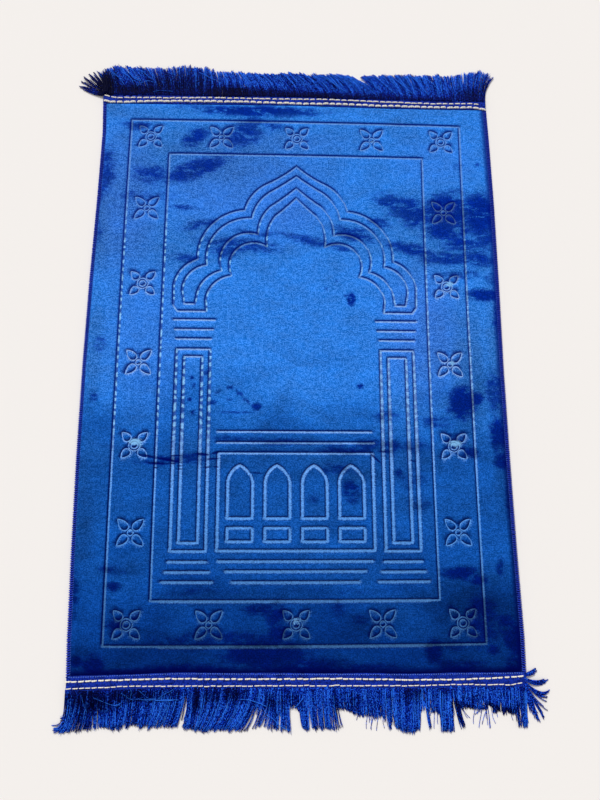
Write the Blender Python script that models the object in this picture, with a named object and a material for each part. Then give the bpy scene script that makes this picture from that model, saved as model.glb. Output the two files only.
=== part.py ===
"""Prayer rug: a padded velvet mat with an arch design pressed into its pile, fringed at both ends.

It lies face up on the surface at z = 0, and +Y runs towards the point of the arch.
"""

import math
from collections import namedtuple

import bpy
from mathutils import Vector
from mathutils.geometry import delaunay_2d_cdt

# Sizes are in millimetres, and MM turns them into Blender's metres.
MM = 0.001

# The mat, with its sewn ends but without fringe
MAT_HALF_WIDTH = 350
MAT_HALF_LENGTH = 499
MAT_THICKNESS = 6.5

# How far the cut edges stray: where each long side lies along the mat, and each end across it
Side = namedtuple("Side", "along left right")
SIDES = (
    Side(-500, -347, 355),
    Side(-430, -350, 356),
    Side(-300, -353, 353),
    Side(-150, -355, 351),
    Side(0, -355, 350),
    Side(150, -353, 351),
    Side(300, -349, 351),
    Side(430, -347, 349),
    Side(500, -350, 347),
)
End = namedtuple("End", "across near far")
ENDS = (
    End(-350, -500, 498),
    End(-180, -496, 500),
    End(0, -498, 502),
    End(180, -500, 500),
    End(350, -499, 501),
)

# The design was pressed in before the mat was cut, and bows a little on its own.
SIDEWAYS_BOW = -2.5
ENDWAYS_BOW = 2.5

# Rings of the mat's rim, from the cut edge inwards: inset from the sides and each end, and height.
# The sides are pressed down by overlocking, and the ends lie flat under the fringes' headings.
Rim = namedtuple("Rim", "side_inset near_inset far_inset height")
RIMS = (
    Rim(0, 0, 0, 2.6),
    Rim(5, 18, 14, 3.2),
    Rim(9, 22, 18, 5.6),
    Rim(15, 28, 24, MAT_THICKNESS),
)
SIDE_STEPS = 14
END_STEPS = 12

# Pressed lines are V-shaped grooves, and those of the flowers are finer.
LINE_HALF_WIDTH = 2.5
LINE_DEPTH = 2.0
FLOWER_LINE_HALF_WIDTH = 1.5
FLOWER_LINE_DEPTH = 1.4

# Frames round the design, and flowers in the band between them
Frame = namedtuple("Frame", "half_width near far")
FRAMES = (Frame(296, -440, 453), Frame(226, -375, 388))
FLOWER_ROWS = 7
FLOWER_ROW_SPACING = 138
FLOWER_FAR_ROW = 420
FLOWER_COLUMNS = (-261, -135, 0, 135, 261)
FLOWER_TIP = 29
LEAF_BASE = 8
LEAF_HIP = 15
BOLD_LEAF_BASE = 11.4
BOLD_LEAF_HIP = 17
LEAF_HALF_WIDTH = 6.4
LEAF_STEPS = 2
CENTRE_RADIUS = 4.2
BOLD_CENTRE_RADIUS = 7.6
CENTRE_STEPS = 8

# The arch's four lines, from the outermost. Each half has a flank that sags a little from the apex,
# three lobes that meet in points, and a leg. A rise is how far a lobe bulges from the straight line
# between its ends.
ArchLine = namedtuple(
    "ArchLine",
    "apex flank_x flank_y sag cusp_x cusp_y top_rise nook_x nook_y middle_rise"
    " shoulder_x shoulder_y low_rise foot_x foot_y",
)
ARCH_LINES = (
    ArchLine(365, 50, 331, 2.2, 90, 280, 7.4, 169, 188, 25, 208, 140, 9, 200, 95),
    ArchLine(346, 44, 316, 0.8, 77, 265, 6.8, 153, 178, 28, 193, 130, 12, 189, 108),
    ArchLine(323, 44, 288, 1.2, 66, 235, 6.2, 127, 168, 29, 169, 118, 11, 171, 108),
    ArchLine(304, 36, 270, 0.8, 50, 213, 6.3, 110, 159, 31, 153, 115, 11, 151, 95),
)
FLANK_STEPS = 3
LOBE_STEPS = 5

# Two pillars under the arch's feet, each a double outline, with bars for its capital and its base
PILLAR_AXIS = 171
Box = namedtuple("Box", "half_width bottom top")
PILLAR_BOXES = (Box(28, -299, 28), Box(15, -287, 15))
Bar = namedtuple("Bar", "half_width height")
PILLAR_BARS = (Bar(34, 80), Bar(32, 63), Bar(29, 46), Bar(30, -316), Bar(34, -330), Bar(41, -346))

# An arcade of four windows between the pillars, with sill lines above and steps below
CENTRE_BARS = (Bar(125, -108), Bar(127, -127), Bar(123, -315), Bar(112, -330), Bar(100, -346))
ARCADE = Box(125, -299, -145)
WINDOWS = (-90, -30, 30, 90)
WINDOW_HALF_WIDTH = 20
WINDOW_BOTTOM = -247
WINDOW_SPRING = -192
WINDOW_TOP = -163
WINDOW_RISE = 5
WINDOW_STEPS = 3
PANEL_BOX = Box(20, -283, -262)

# The fringe's heading is a tape that laps the mat's end. Locks of yarn hang from its outer edge.
NEAR_HEADING_INNER = 17
FAR_HEADING_INNER = 13
HEADING_OUTER = 4
HEADING_THICKNESS = 1.5
CLEARANCE = 0.3
LOCKS_PER_END = 92
LOCK_SHARE = 0.8
Lock = namedtuple("Lock", "across reach lean")
NEAR_LOCKS = (
    Lock(-347, 50, -21),
    Lock(-335, 58, -17),
    Lock(-312, 59, -6),
    Lock(-304, 57, 3),
    Lock(-260, 56, -4),
    Lock(-200, 56, -14),
    Lock(-168, 56, -9),
    Lock(-160, 58, -8),
    Lock(-125, 61, -18),
    Lock(-62, 61, -19),
    Lock(-42, 60, -11),
    Lock(-12, 62, -2),
    Lock(-6, 31, 0),
    Lock(4, 31, 3),
    Lock(8, 60, 3),
    Lock(58, 60, 3),
    Lock(62, 30, 0),
    Lock(100, 41, 0),
    Lock(135, 42, 0),
    Lock(143, 62, 4),
    Lock(190, 63, 0),
    Lock(198, 58, 4),
    Lock(206, 36, 0),
    Lock(220, 42, 0),
    Lock(226, 64, 0),
    Lock(240, 62, 8),
    Lock(248, 38, 4),
    Lock(262, 32, 0),
    Lock(290, 34, 0),
    Lock(330, 40, 0),
    Lock(338, 59, 3),
    Lock(352, 58, 3),
)
FAR_LOCKS = (
    Lock(-346, 20, -44),
    Lock(-338, 32, -42),
    Lock(-330, 44, -40),
    Lock(-322, 52, -34),
    Lock(-300, 60, -22),
    Lock(-250, 57, -10),
    Lock(-200, 60, -2),
    Lock(-150, 56, -4),
    Lock(-100, 55, -14),
    Lock(-50, 50, -26),
    Lock(20, 52, -32),
    Lock(134, 52, -35),
    Lock(141, 40, -33),
    Lock(148, 53, -28),
    Lock(200, 56, -22),
    Lock(250, 55, -12),
    Lock(290, 58, -3),
    Lock(330, 64, 5),
    Lock(346, 56, 24),
)
# Frayed yarn at the near heading's right end: how far each tuft starts from the heading's inner edge,
# and how far its tip lies out from there and along the mat
Tuft = namedtuple("Tuft", "inset out along")
SIDE_TUFTS = (
    Tuft(4, 17, 8),
    Tuft(9, 34, 0),
    Tuft(14, 35, -10),
    Tuft(19, 30, -32),
)
TUFT_WIDTH = 2.8
# A lock's sections: the share of its length, its width, and the heights of its underside and top
Section = namedtuple("Section", "share width underside top")
LOCK_SECTIONS = (
    Section(0.2, 1.0, 0, 3.4),
    Section(0.6, 0.95, 0, 2.6),
    Section(1.0, 0.75, 0, 1.4),
)
LOCK_TOP_SHARE = 0.6
LOCK_STRAIGHT_SHARE = 0.4

Paint = namedtuple("Paint", "colour roughness")
VELVET = Paint((0.010, 0.098, 0.50, 1), 0.75)
YARN = Paint((0.006, 0.033, 0.46, 1), 0.6)


def clear_scene():
    for thing in list(bpy.data.objects):
        bpy.data.objects.remove(thing)


def between(rows, column, at):
    """The named column of a table at a place in its first column, straight between rows."""
    if at <= rows[0][0]:
        return getattr(rows[0], column)
    for low, high in zip(rows, rows[1:]):
        if at <= high[0]:
            share = (at - low[0]) / (high[0] - low[0])
            return getattr(low, column) * (1 - share) + getattr(high, column) * share
    return getattr(rows[-1], column)


def bowed(point):
    """A point of the design where the bow of the pressed cloth leaves it."""
    x, y = point
    sideways = SIDEWAYS_BOW * (1 - (y / MAT_HALF_LENGTH) ** 2)
    endways = ENDWAYS_BOW * (1 - (x / MAT_HALF_WIDTH) ** 2) * y / MAT_HALF_LENGTH
    return x + sideways, y + endways


def mirrored(points):
    return [(-x, y) for x, y in points]


def box_line(centre, box):
    left, right = centre - box.half_width, centre + box.half_width
    return [(left, box.bottom), (right, box.bottom), (right, box.top), (left, box.top)]


def lobe(start, end, rise, steps):
    """Points after start up to end, on a circular arc that bulges by rise to the right of the way."""
    chord = Vector(end) - Vector(start)
    half = chord.length / 2
    radius = (half * half + rise * rise) / (2 * rise)
    across = Vector((chord.y, -chord.x)).normalized()
    centre = Vector(start) + chord / 2 + across * (rise - radius)
    sweep = 2 * math.atan2(half, radius - rise)
    first = math.atan2(start[1] - centre.y, start[0] - centre.x)
    turns = [first + sweep * step / steps for step in range(1, steps + 1)]
    return [(centre.x + radius * math.cos(a), centre.y + radius * math.sin(a)) for a in turns]


def arch_half(line):
    """The left half of one arch line, from its apex to its foot."""
    apex = (0, line.apex)
    flank = (-line.flank_x, line.flank_y)
    cusp = (-line.cusp_x, line.cusp_y)
    nook = (-line.nook_x, line.nook_y)
    shoulder = (-line.shoulder_x, line.shoulder_y)
    points = lobe(flank, apex, line.sag, FLANK_STEPS)[::-1] + [flank]
    points += lobe(flank, cusp, line.top_rise, LOBE_STEPS - 1)
    points += lobe(cusp, nook, line.middle_rise, LOBE_STEPS)
    points += lobe(nook, shoulder, line.low_rise, LOBE_STEPS - 1)
    if line.shoulder_x > line.foot_x + 5:
        points.append((-line.shoulder_x + 1, line.foot_y + 10))
    points.append((-line.foot_x, line.foot_y))
    return points


def arch_band(outer, inner):
    """The closed line of a band of the arch: down outside, up inside, and the same mirrored."""
    down = arch_half(outer)
    up = arch_half(inner)[::-1]
    return down + up + mirrored(up)[::-1][1:] + mirrored(down)[::-1][:-1]


def window_line(centre):
    """A pointed window: straight sides, and two arcs that meet in its point."""
    left, right = centre - WINDOW_HALF_WIDTH, centre + WINDOW_HALF_WIDTH
    points = [(left, WINDOW_BOTTOM), (right, WINDOW_BOTTOM), (right, WINDOW_SPRING)]
    points += lobe((right, WINDOW_SPRING), (centre, WINDOW_TOP), WINDOW_RISE, WINDOW_STEPS)
    points += lobe((centre, WINDOW_TOP), (left, WINDOW_SPRING), WINDOW_RISE, WINDOW_STEPS)
    return points


def leaf_line(centre, turn, base, hip):
    """A leaf along one diagonal of a flower: round at its base, widest at its hips, pointed at its tip."""
    way = Vector((math.cos(turn), math.sin(turn)))
    aside = Vector((way.y, -way.x)) * LEAF_HALF_WIDTH
    middle = Vector(centre)
    start, tip = middle + way * base, middle + way * FLOWER_TIP
    right, left = middle + way * hip + aside, middle + way * hip - aside
    base_rise = (right - start).length * (math.sqrt(2) - 1) / 2
    side_rise = (tip - right).length * 0.09
    points = lobe(start, right, base_rise, LEAF_STEPS) + lobe(right, tip, side_rise, LEAF_STEPS)
    return points + lobe(tip, left, side_rise, LEAF_STEPS) + lobe(left, start, base_rise, LEAF_STEPS)


def ring_line(centre, radius):
    turns = [2 * math.pi * step / CENTRE_STEPS for step in range(CENTRE_STEPS)]
    return [(centre[0] + radius * math.cos(a), centre[1] + radius * math.sin(a)) for a in turns]


def flower_lines(centre, bold):
    base, hip = (BOLD_LEAF_BASE, BOLD_LEAF_HIP) if bold else (LEAF_BASE, LEAF_HIP)
    radius = BOLD_CENTRE_RADIUS if bold else CENTRE_RADIUS
    leaves = [leaf_line(centre, math.pi * (0.25 + quarter / 2), base, hip) for quarter in range(4)]
    return leaves + [ring_line(centre, radius)]


def flower_centres():
    """Each flower's centre, and whether it is one of the bold ones, which take turns with the rest."""
    for row in range(FLOWER_ROWS):
        y = FLOWER_FAR_ROW - row * FLOWER_ROW_SPACING
        in_short_side = row in (0, FLOWER_ROWS - 1)
        columns = range(len(FLOWER_COLUMNS)) if in_short_side else (0, len(FLOWER_COLUMNS) - 1)
        for column in columns:
            yield (FLOWER_COLUMNS[column], y), (row + column) % 2 == 0


def beside(points, distance, closed):
    """The line that runs beside another at a distance, to its right, with mitred corners."""
    moved = []
    count = len(points)
    for index, point in enumerate(points):
        here = Vector(point)
        before = Vector(points[index - 1]) if closed or index else None
        after = Vector(points[(index + 1) % count]) if closed or index + 1 < count else None
        ways = []
        if before is not None:
            ways.append((here - before).normalized())
        if after is not None:
            ways.append((after - here).normalized())
        sides = [Vector((way.y, -way.x)) for way in ways]
        total = sum(sides, Vector((0, 0)))
        mitre = total * (distance * len(sides) / total.length_squared)
        moved.append(tuple(here + mitre))
    return moved


class Plan:
    """Lines in plan with a height for each, which become one triangulated surface."""

    def __init__(self):
        self.points = []
        self.heights = []
        self.edges = []

    def closed_line(self, points, height):
        first = len(self.points)
        count = len(points)
        self.points += [Vector(point) for point in points]
        self.heights += [height] * count
        self.edges += [(first + step, first + (step + 1) % count) for step in range(count)]

    def open_line(self, points, height):
        first = len(self.points)
        self.points += [Vector(point) for point in points]
        self.heights += [height] * len(points)
        self.edges += [(first + step, first + step + 1) for step in range(len(points) - 1)]

    def closed_groove(self, points, half_width, depth):
        self.closed_line([bowed(p) for p in points], MAT_THICKNESS - depth)
        for side in (-half_width, half_width):
            self.closed_line([bowed(p) for p in beside(points, side, True)], MAT_THICKNESS)

    def bar_groove(self, centre, bar):
        inner = bar.half_width - LINE_HALF_WIDTH
        ends = [(centre - inner, bar.height), (centre + inner, bar.height)]
        rim = Box(bar.half_width, bar.height - LINE_HALF_WIDTH, bar.height + LINE_HALF_WIDTH)
        self.open_line([bowed(p) for p in ends], MAT_THICKNESS - LINE_DEPTH)
        self.closed_line([bowed(p) for p in box_line(centre, rim)], MAT_THICKNESS)


def mat_ring(rim):
    """A ring of points round the mat, inset from its cut edge, anticlockwise from the near left."""
    near_y, far_y = -MAT_HALF_LENGTH + rim.near_inset, MAT_HALF_LENGTH - rim.far_inset
    left_x, right_x = -MAT_HALF_WIDTH + rim.side_inset, MAT_HALF_WIDTH - rim.side_inset
    shares = [step / END_STEPS for step in range(END_STEPS)]
    across = [left_x + (right_x - left_x) * share for share in shares]
    steps = [near_y + (far_y - near_y) * step / SIDE_STEPS for step in range(SIDE_STEPS)]
    ring = [(x, near_y) for x in across]
    ring += [(right_x, y) for y in steps]
    ring += [(-x, far_y) for x in across]
    ring += [(left_x, near_y + far_y - y) for y in steps]
    return [strayed(point) for point in ring]


def strayed(point):
    """A point of the straight mat, moved with its uneven cut edges."""
    x, y = point
    left = between(SIDES, "left", y) + MAT_HALF_WIDTH
    right = between(SIDES, "right", y) - MAT_HALF_WIDTH
    near = between(ENDS, "near", x) + MAT_HALF_LENGTH
    far = between(ENDS, "far", x) - MAT_HALF_LENGTH
    from_left = (x / MAT_HALF_WIDTH + 1) / 2
    from_near = (y / MAT_HALF_LENGTH + 1) / 2
    return x + left + (right - left) * from_left, y + near + (far - near) * from_near


def design(plan):
    """The pressed lines of the whole face."""
    for frame in FRAMES:
        plan.closed_groove(
            box_line(0, Box(frame.half_width, frame.near, frame.far)), LINE_HALF_WIDTH, LINE_DEPTH
        )
    for centre, bold in flower_centres():
        for line in flower_lines(centre, bold):
            plan.closed_groove(line, FLOWER_LINE_HALF_WIDTH, FLOWER_LINE_DEPTH)
    plan.closed_groove(arch_band(ARCH_LINES[0], ARCH_LINES[3]), LINE_HALF_WIDTH, LINE_DEPTH)
    plan.closed_groove(arch_band(ARCH_LINES[1], ARCH_LINES[2]), LINE_HALF_WIDTH, LINE_DEPTH)
    for axis in (-PILLAR_AXIS, PILLAR_AXIS):
        for box in PILLAR_BOXES:
            plan.closed_groove(box_line(axis, box), LINE_HALF_WIDTH, LINE_DEPTH)
        for bar in PILLAR_BARS:
            plan.bar_groove(axis, bar)
    for bar in CENTRE_BARS:
        plan.bar_groove(0, bar)
    plan.closed_groove(box_line(0, ARCADE), LINE_HALF_WIDTH, LINE_DEPTH)
    for centre in WINDOWS:
        plan.closed_groove(window_line(centre), LINE_HALF_WIDTH, LINE_DEPTH)
        plan.closed_groove(box_line(centre, PANEL_BOX), LINE_HALF_WIDTH, LINE_DEPTH)


def mat_mesh():
    """The whole mat: its face from the lines in plan, upright cut edges, and a flat underside."""
    plan = Plan()
    for rim in RIMS:
        plan.closed_line(mat_ring(rim), rim.height)
    design(plan)
    edge_count = len(mat_ring(RIMS[0]))
    outline = [list(range(edge_count))]
    points, _, triangles, origins, _, owners = delaunay_2d_cdt(
        plan.points, plan.edges, outline, 0, 0.0001, True
    )
    face = [triangle for triangle, owner in zip(triangles, owners) if owner]
    heights = [plan.heights[origin[0]] if origin else MAT_THICKNESS for origin in origins]
    places = [(p.x * MM, p.y * MM, z * MM) for p, z in zip(points, heights)]
    found = {origin: index for index, known in enumerate(origins) for origin in known}
    rim_top = [found[index] for index in range(edge_count)]
    rim_foot = [len(places) + index for index in range(edge_count)]
    places += [(places[top][0], places[top][1], 0) for top in rim_top]
    walls = []
    for step in range(edge_count):
        after = (step + 1) % edge_count
        walls.append((rim_foot[step], rim_foot[after], rim_top[after], rim_top[step]))
    return places, face + walls + [tuple(rim_foot[::-1])]


def heading_outline(end):
    """The heading's plan, anticlockwise, with the tip that each stretch of its edge sends out.

    A stretch of the edge runs from its own point to the next. Its tip is None where no yarn starts.
    """
    column, table, out = ("near", NEAR_LOCKS, -1) if end < 0 else ("far", FAR_LOCKS, 1)
    edge_y = out * MAT_HALF_LENGTH
    left, right = strayed((-MAT_HALF_WIDTH, edge_y))[0], strayed((MAT_HALF_WIDTH, edge_y))[0]
    pitch = (right - left) / LOCKS_PER_END
    half = pitch * LOCK_SHARE / 2

    def place(x, outwards):
        return x, between(ENDS, column, x) + out * outwards

    yarn_edge = [(place(left, HEADING_OUTER), None)]
    for index in range(LOCKS_PER_END):
        x = left + (index + 0.5) * pitch
        root = place(x, HEADING_OUTER)
        reach, lean = between(table, "reach", x), between(table, "lean", x)
        tip = (root[0] + lean, root[1] + out * (reach - HEADING_OUTER))
        yarn_edge.append((place(x - half, HEADING_OUTER), tip))
        yarn_edge.append((place(x + half, HEADING_OUTER), None))
    yarn_edge.append((place(right, HEADING_OUTER), None))
    steps = [left + (right - left) * step / END_STEPS for step in range(END_STEPS + 1)]
    inner = NEAR_HEADING_INNER if end < 0 else FAR_HEADING_INNER
    plain_edge = [(place(x, -inner), None) for x in steps]
    if end > 0:
        return reversed_outline(yarn_edge) + plain_edge
    return yarn_edge + frayed_end(place(right, -inner)[1], right) + plain_edge[::-1]


def reversed_outline(outline):
    """The same points the other way round, with each tip on the stretch that it was on."""
    points = [point for point, _ in outline][::-1]
    tips = [tip for _, tip in outline][::-1]
    return list(zip(points, tips[1:] + [None]))


def frayed_end(inner_y, right):
    """Points up the near heading's right end, with its tufts, from the outer edge inwards."""
    outline = []
    for tuft in SIDE_TUFTS[::-1]:
        y = inner_y - tuft.inset
        tip = (right + tuft.out, y + tuft.along)
        outline.append(((right, y - TUFT_WIDTH / 2), tip))
        outline.append(((right, y + TUFT_WIDTH / 2), None))
    return outline


def lock_places(start, end, tip):
    """Corner points of each section of a lock, which leaves the edge squarely and bends to its tip."""
    start, end, tip = Vector(start), Vector(end), Vector(tip)
    root = (start + end) / 2
    half = (end - start) / 2
    out = Vector((half.y, -half.x)).normalized()
    reach = (tip - root).dot(out)
    turning = root + out * max(reach, 8) * LOCK_STRAIGHT_SHARE
    corners = []
    for section in LOCK_SECTIONS:
        s = section.share
        centre = root * (1 - s) ** 2 + turning * (2 * s * (1 - s)) + tip * s * s
        wide = half * section.width
        narrow = wide * LOCK_TOP_SHARE
        low, high = section.underside, section.top
        corners.append(
            (
                (*(centre - wide), low),
                (*(centre + wide), low),
                (*(centre + narrow), high),
                (*(centre - narrow), high),
            )
        )
    return corners


def fringe_mesh(end):
    """A heading with its locks, as one closed surface."""
    outline = heading_outline(end)
    count = len(outline)
    underside = RIMS[1].height + CLEARANCE
    top = underside + HEADING_THICKNESS
    places = [(*point, underside) for point, _ in outline]
    places += [(*point, top) for point, _ in outline]
    faces = [tuple(range(count))[::-1], tuple(range(count, 2 * count))]
    for index, (point, tip) in enumerate(outline):
        after = (index + 1) % count
        ring = (index, after, after + count, index + count)
        if tip is None:
            faces.append(ring)
            continue
        for corners in lock_places(point, outline[after][0], tip):
            first = len(places)
            places += corners
            next_ring = tuple(range(first, first + 4))
            for side in range(4):
                turn = (side + 1) % 4
                faces.append((ring[side], ring[turn], next_ring[turn], next_ring[side]))
            ring = next_ring
        faces.append(ring)
    return [(x * MM, y * MM, z * MM) for x, y, z in places], faces


def add_piece(name, shape, paint):
    places, faces = shape
    mesh = bpy.data.meshes.new(name)
    mesh.from_pydata(places, [], faces)
    material = bpy.data.materials.new(name)
    material.use_nodes = True
    shader = material.node_tree.nodes["Principled BSDF"]
    shader.inputs["Base Color"].default_value = paint.colour
    shader.inputs["Roughness"].default_value = paint.roughness
    shader.inputs["Metallic"].default_value = 0
    mesh.materials.append(material)
    piece = bpy.data.objects.new(name, mesh)
    bpy.context.scene.collection.objects.link(piece)


clear_scene()
add_piece("padded_mat", mat_mesh(), VELVET)
add_piece("near_fringe", fringe_mesh(-1), YARN)
add_piece("far_fringe", fringe_mesh(1), YARN)
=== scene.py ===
"""Prayer rug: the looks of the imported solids, which lie face up with the arch pointing along +Y."""

import math
from collections import namedtuple

import bpy
import numpy as np
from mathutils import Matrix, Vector, kdtree, noise
from mathutils.geometry import delaunay_2d_cdt


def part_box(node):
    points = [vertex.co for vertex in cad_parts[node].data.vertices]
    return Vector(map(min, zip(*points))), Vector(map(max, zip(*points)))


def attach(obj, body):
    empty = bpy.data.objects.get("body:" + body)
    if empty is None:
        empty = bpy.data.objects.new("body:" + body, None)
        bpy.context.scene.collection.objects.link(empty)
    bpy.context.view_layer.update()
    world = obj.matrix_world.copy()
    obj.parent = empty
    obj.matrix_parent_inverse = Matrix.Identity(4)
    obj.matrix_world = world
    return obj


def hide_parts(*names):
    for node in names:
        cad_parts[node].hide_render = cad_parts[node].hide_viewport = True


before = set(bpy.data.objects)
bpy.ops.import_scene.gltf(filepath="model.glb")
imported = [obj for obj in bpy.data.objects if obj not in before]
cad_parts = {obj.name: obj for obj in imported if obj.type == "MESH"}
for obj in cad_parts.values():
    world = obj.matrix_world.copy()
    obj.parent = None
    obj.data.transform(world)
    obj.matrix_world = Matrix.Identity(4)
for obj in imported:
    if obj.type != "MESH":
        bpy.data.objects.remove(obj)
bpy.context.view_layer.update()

# --- The mat --------------------------------------------------------------------------------------
# Plush velvet, wadding and a thin knitted back, pressed together by a hot die that leaves the design
# as channels in the pile. It was cut out afterwards, and its cut edges are overlocked.

MM = 0.001
MAT_HALF_WIDTH = 350
MAT_HALF_LENGTH = 499
MAT_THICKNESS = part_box("padded_mat")[1].z / MM

# Where each long side lies along the mat, and each end across it
SIDE_ALONG = (-500, -430, -300, -150, 0, 150, 300, 430, 500)
LEFT_SIDE = (-347, -350, -353, -355, -355, -353, -349, -347, -350)
RIGHT_SIDE = (355, 356, 353, 351, 350, 351, 351, 349, 347)
END_ACROSS = (-350, -180, 0, 180, 350)
NEAR_END = (-500, -496, -498, -500, -499)
FAR_END = (498, 500, 502, 500, 501)
MAT_END = SIDE_ALONG[-1]
OUTLINE_PACE = 6.0

# The die's plate lay a little askew, so the design bows on its own.
SIDEWAYS_BOW = -2.5
ENDWAYS_BOW = 2.5

# Insets from the cut edges, and the heights there: overlocking presses the sides down, and the
# fringes' headings the ends. Creases and lumps show only where the rim is higher than PRESSED_RIM, and
# in full where it is higher by RIM_EASE.
SIDE_INSETS = (0, 1.2, 5, 7, 10, 15)
NEAR_INSETS = (0, 1.2, 18, 20, 23, 28)
FAR_INSETS = (0, 1.2, 12.6, 13.6, 15.5, 20)
RIM_HEIGHTS = (1.9, 2.6, 3.1, 4.8, 5.9, MAT_THICKNESS)
PRESSED_RIM = 4.5
RIM_EASE = 2

# Two plain frames round the design, and flowers between them
Border = namedtuple("Border", "half_width near far")
BORDERS = (Border(296, -439.5, 452), Border(226, -373.2, 386.2))
FLOWER_ROWS = 7
FLOWER_ROW_SPACING = 138
FLOWER_FAR_ROW = 420
FLOWER_COLUMNS = (-261, -135, 0, 135, 261)
FLOWER_TIP = 29
LEAF_BASE = 6.6
LEAF_HIP = 14.5
LEAF_HALF_WIDTH = 6.4
LEAF_BULGE = 0.09
BOLD_LEAF_BASE = 10.6
BOLD_LEAF_HIP = 17
CENTRE_RADIUS = 4.4
BOLD_CENTRE_RADII = (9.2, 5.2)
RING_STEPS = 24

# The arch's four lines, from the outermost. Each half has a flank that sags a little from the apex,
# three lobes that meet in points, and a leg. A rise is how far a lobe bulges from the straight line
# between its ends.
ArchLine = namedtuple(
    "ArchLine",
    "apex flank_x flank_y sag cusp_x cusp_y top_rise nook_x nook_y middle_rise"
    " shoulder_x shoulder_y low_rise foot_x foot_y",
)
ARCH_LINES = (
    ArchLine(365, 50, 331, 2.2, 90, 280, 7.4, 169, 188, 25, 208, 140, 9, 200, 95),
    ArchLine(346, 44, 316, 0.8, 77, 265, 6.8, 153, 178, 28, 193, 130, 12, 189, 108),
    ArchLine(323, 44, 288, 1.2, 66, 235, 6.2, 127, 168, 29, 169, 118, 11, 171, 108),
    ArchLine(304, 36, 270, 0.8, 50, 213, 6.3, 110, 159, 31, 153, 115, 11, 151, 95),
)
# A leg that stands further in from its shoulder than LEG_INSET turns a corner, this far in from the
# shoulder and this far over its foot.
LEG_INSET = 5
LEG_CORNER = (1, 10)

# Two pillars under the arch's feet, each a double outline, with bars for its capital and its base
PILLAR_AXIS = 171
Box = namedtuple("Box", "half_width bottom top")
PILLAR_BOXES = (Box(28, -298, 29), Box(15, -285.2, 16.3))
Bar = namedtuple("Bar", "half_width height")
PILLAR_CAPITAL = (Bar(34, 80), Bar(32, 63), Bar(29, 46.5))
PILLAR_BASE = (Bar(30, -314.2), Bar(34, -329.7), Bar(40, -344.8))

# An arcade of four windows between the pillars, with sill lines above and steps below
CENTRE_BARS = (Bar(125, -109), Bar(127, -127), Bar(122, -313.3), Bar(111, -328.5), Bar(99, -345))
ARCADE = Box(125.5, -297.2, -144)
WINDOWS = (-90, -30, 30, 90)
WINDOW_HALF_WIDTH = 20
WINDOW_BOTTOM = -247
WINDOW_SPRING = -192
WINDOW_TOP = -163
WINDOW_RISE = 5
PANEL_BOX = Box(20, -283, -262)

# A pressed channel from its middle outwards: a floor, a wall, and a shoulder where the wadding swells
# up. Light is painted into each channel as if it came from the far left corner: the channel's side
# towards that corner gets painted shade, and the other side shows the pale floor with a painted
# highlight on it. The sides differ in full where a channel runs across that light by FULL_FACING or
# more, and the side towards the light is the steeper one.
CHANNEL_INSETS = (0, 1.1, 2.2, 3.4, 5.2, 8)
CHANNEL_DROPS = (1, 0.95, 0.5, 0.27, 0.1, 0)
CHANNEL_DEPTH = 2.2
FLOWER_CHANNEL_DEPTH = 1.4
FLOWER_CHANNEL_SCALE = 0.58
LIGHT_FROM = (-0.45, 0.89)
FULL_FACING = 0.4
STEEPER_SIDE = 0.3

# How far apart the design's points are before it bows, and then the mesh's points along its channels,
# along its flowers and in the plain pile, which stay clear of the rim and of the channels. The nearest
# channel is looked for among points at the fine pace.
BOW_PACE = 20
PACE = 4.0
FLOWER_PACE = 2.5
FINE_PACE = 0.8
LOOSE_PITCH = 5.2
LOOSE_MARGIN = 16
LOOSE_CLEARANCE = 2.8
MERGE_DISTANCE = 0.0005


def side_x(side, y):
    return np.interp(y, SIDE_ALONG, side)


def end_y(end, x):
    return np.interp(x, END_ACROSS, end)


def bowed(points):
    """The pressed design's points where its bow leaves them."""
    x, y = np.asarray(points, float).T
    sideways = SIDEWAYS_BOW * (1 - (y / MAT_HALF_LENGTH) ** 2)
    endways = ENDWAYS_BOW * (1 - (x / MAT_HALF_WIDTH) ** 2) * y / MAT_HALF_LENGTH
    return np.column_stack((x + sideways, y + endways))


def box_line(centre, box):
    left, right = centre - box.half_width, centre + box.half_width
    return [(left, box.bottom), (right, box.bottom), (right, box.top), (left, box.top)]


def bar_line(centre, bar):
    return [(centre - bar.half_width, bar.height), (centre + bar.half_width, bar.height)]


def circle(centre, radius, steps):
    turns = [2 * math.pi * step / steps for step in range(steps)]
    return [(centre[0] + radius * math.cos(a), centre[1] + radius * math.sin(a)) for a in turns]


def lobe(start, end, rise, steps=16):
    """Points after start up to end, on a circular arc that bulges by rise to the right of the way."""
    chord = Vector(end) - Vector(start)
    half = chord.length / 2
    radius = (half * half + rise * rise) / (2 * rise)
    across = Vector((chord.y, -chord.x)).normalized()
    centre = Vector(start) + chord / 2 + across * (rise - radius)
    sweep = 2 * math.atan2(half, radius - rise)
    first = math.atan2(start[1] - centre.y, start[0] - centre.x)
    turns = [first + sweep * step / steps for step in range(1, steps + 1)]
    return [(centre.x + radius * math.cos(a), centre.y + radius * math.sin(a)) for a in turns]


def arch_half(line):
    """The left half of one arch line: a flank that sags from its apex, three lobes, and a leg."""
    apex = (0, line.apex)
    flank = (-line.flank_x, line.flank_y)
    cusp = (-line.cusp_x, line.cusp_y)
    nook = (-line.nook_x, line.nook_y)
    shoulder = (-line.shoulder_x, line.shoulder_y)
    points = lobe(flank, apex, line.sag)[::-1] + [flank]
    points += lobe(flank, cusp, line.top_rise)
    points += lobe(cusp, nook, line.middle_rise)
    points += lobe(nook, shoulder, line.low_rise)
    if line.shoulder_x > line.foot_x + LEG_INSET:
        points.append((-line.shoulder_x + LEG_CORNER[0], line.foot_y + LEG_CORNER[1]))
    points.append((-line.foot_x, line.foot_y))
    return points


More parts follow.
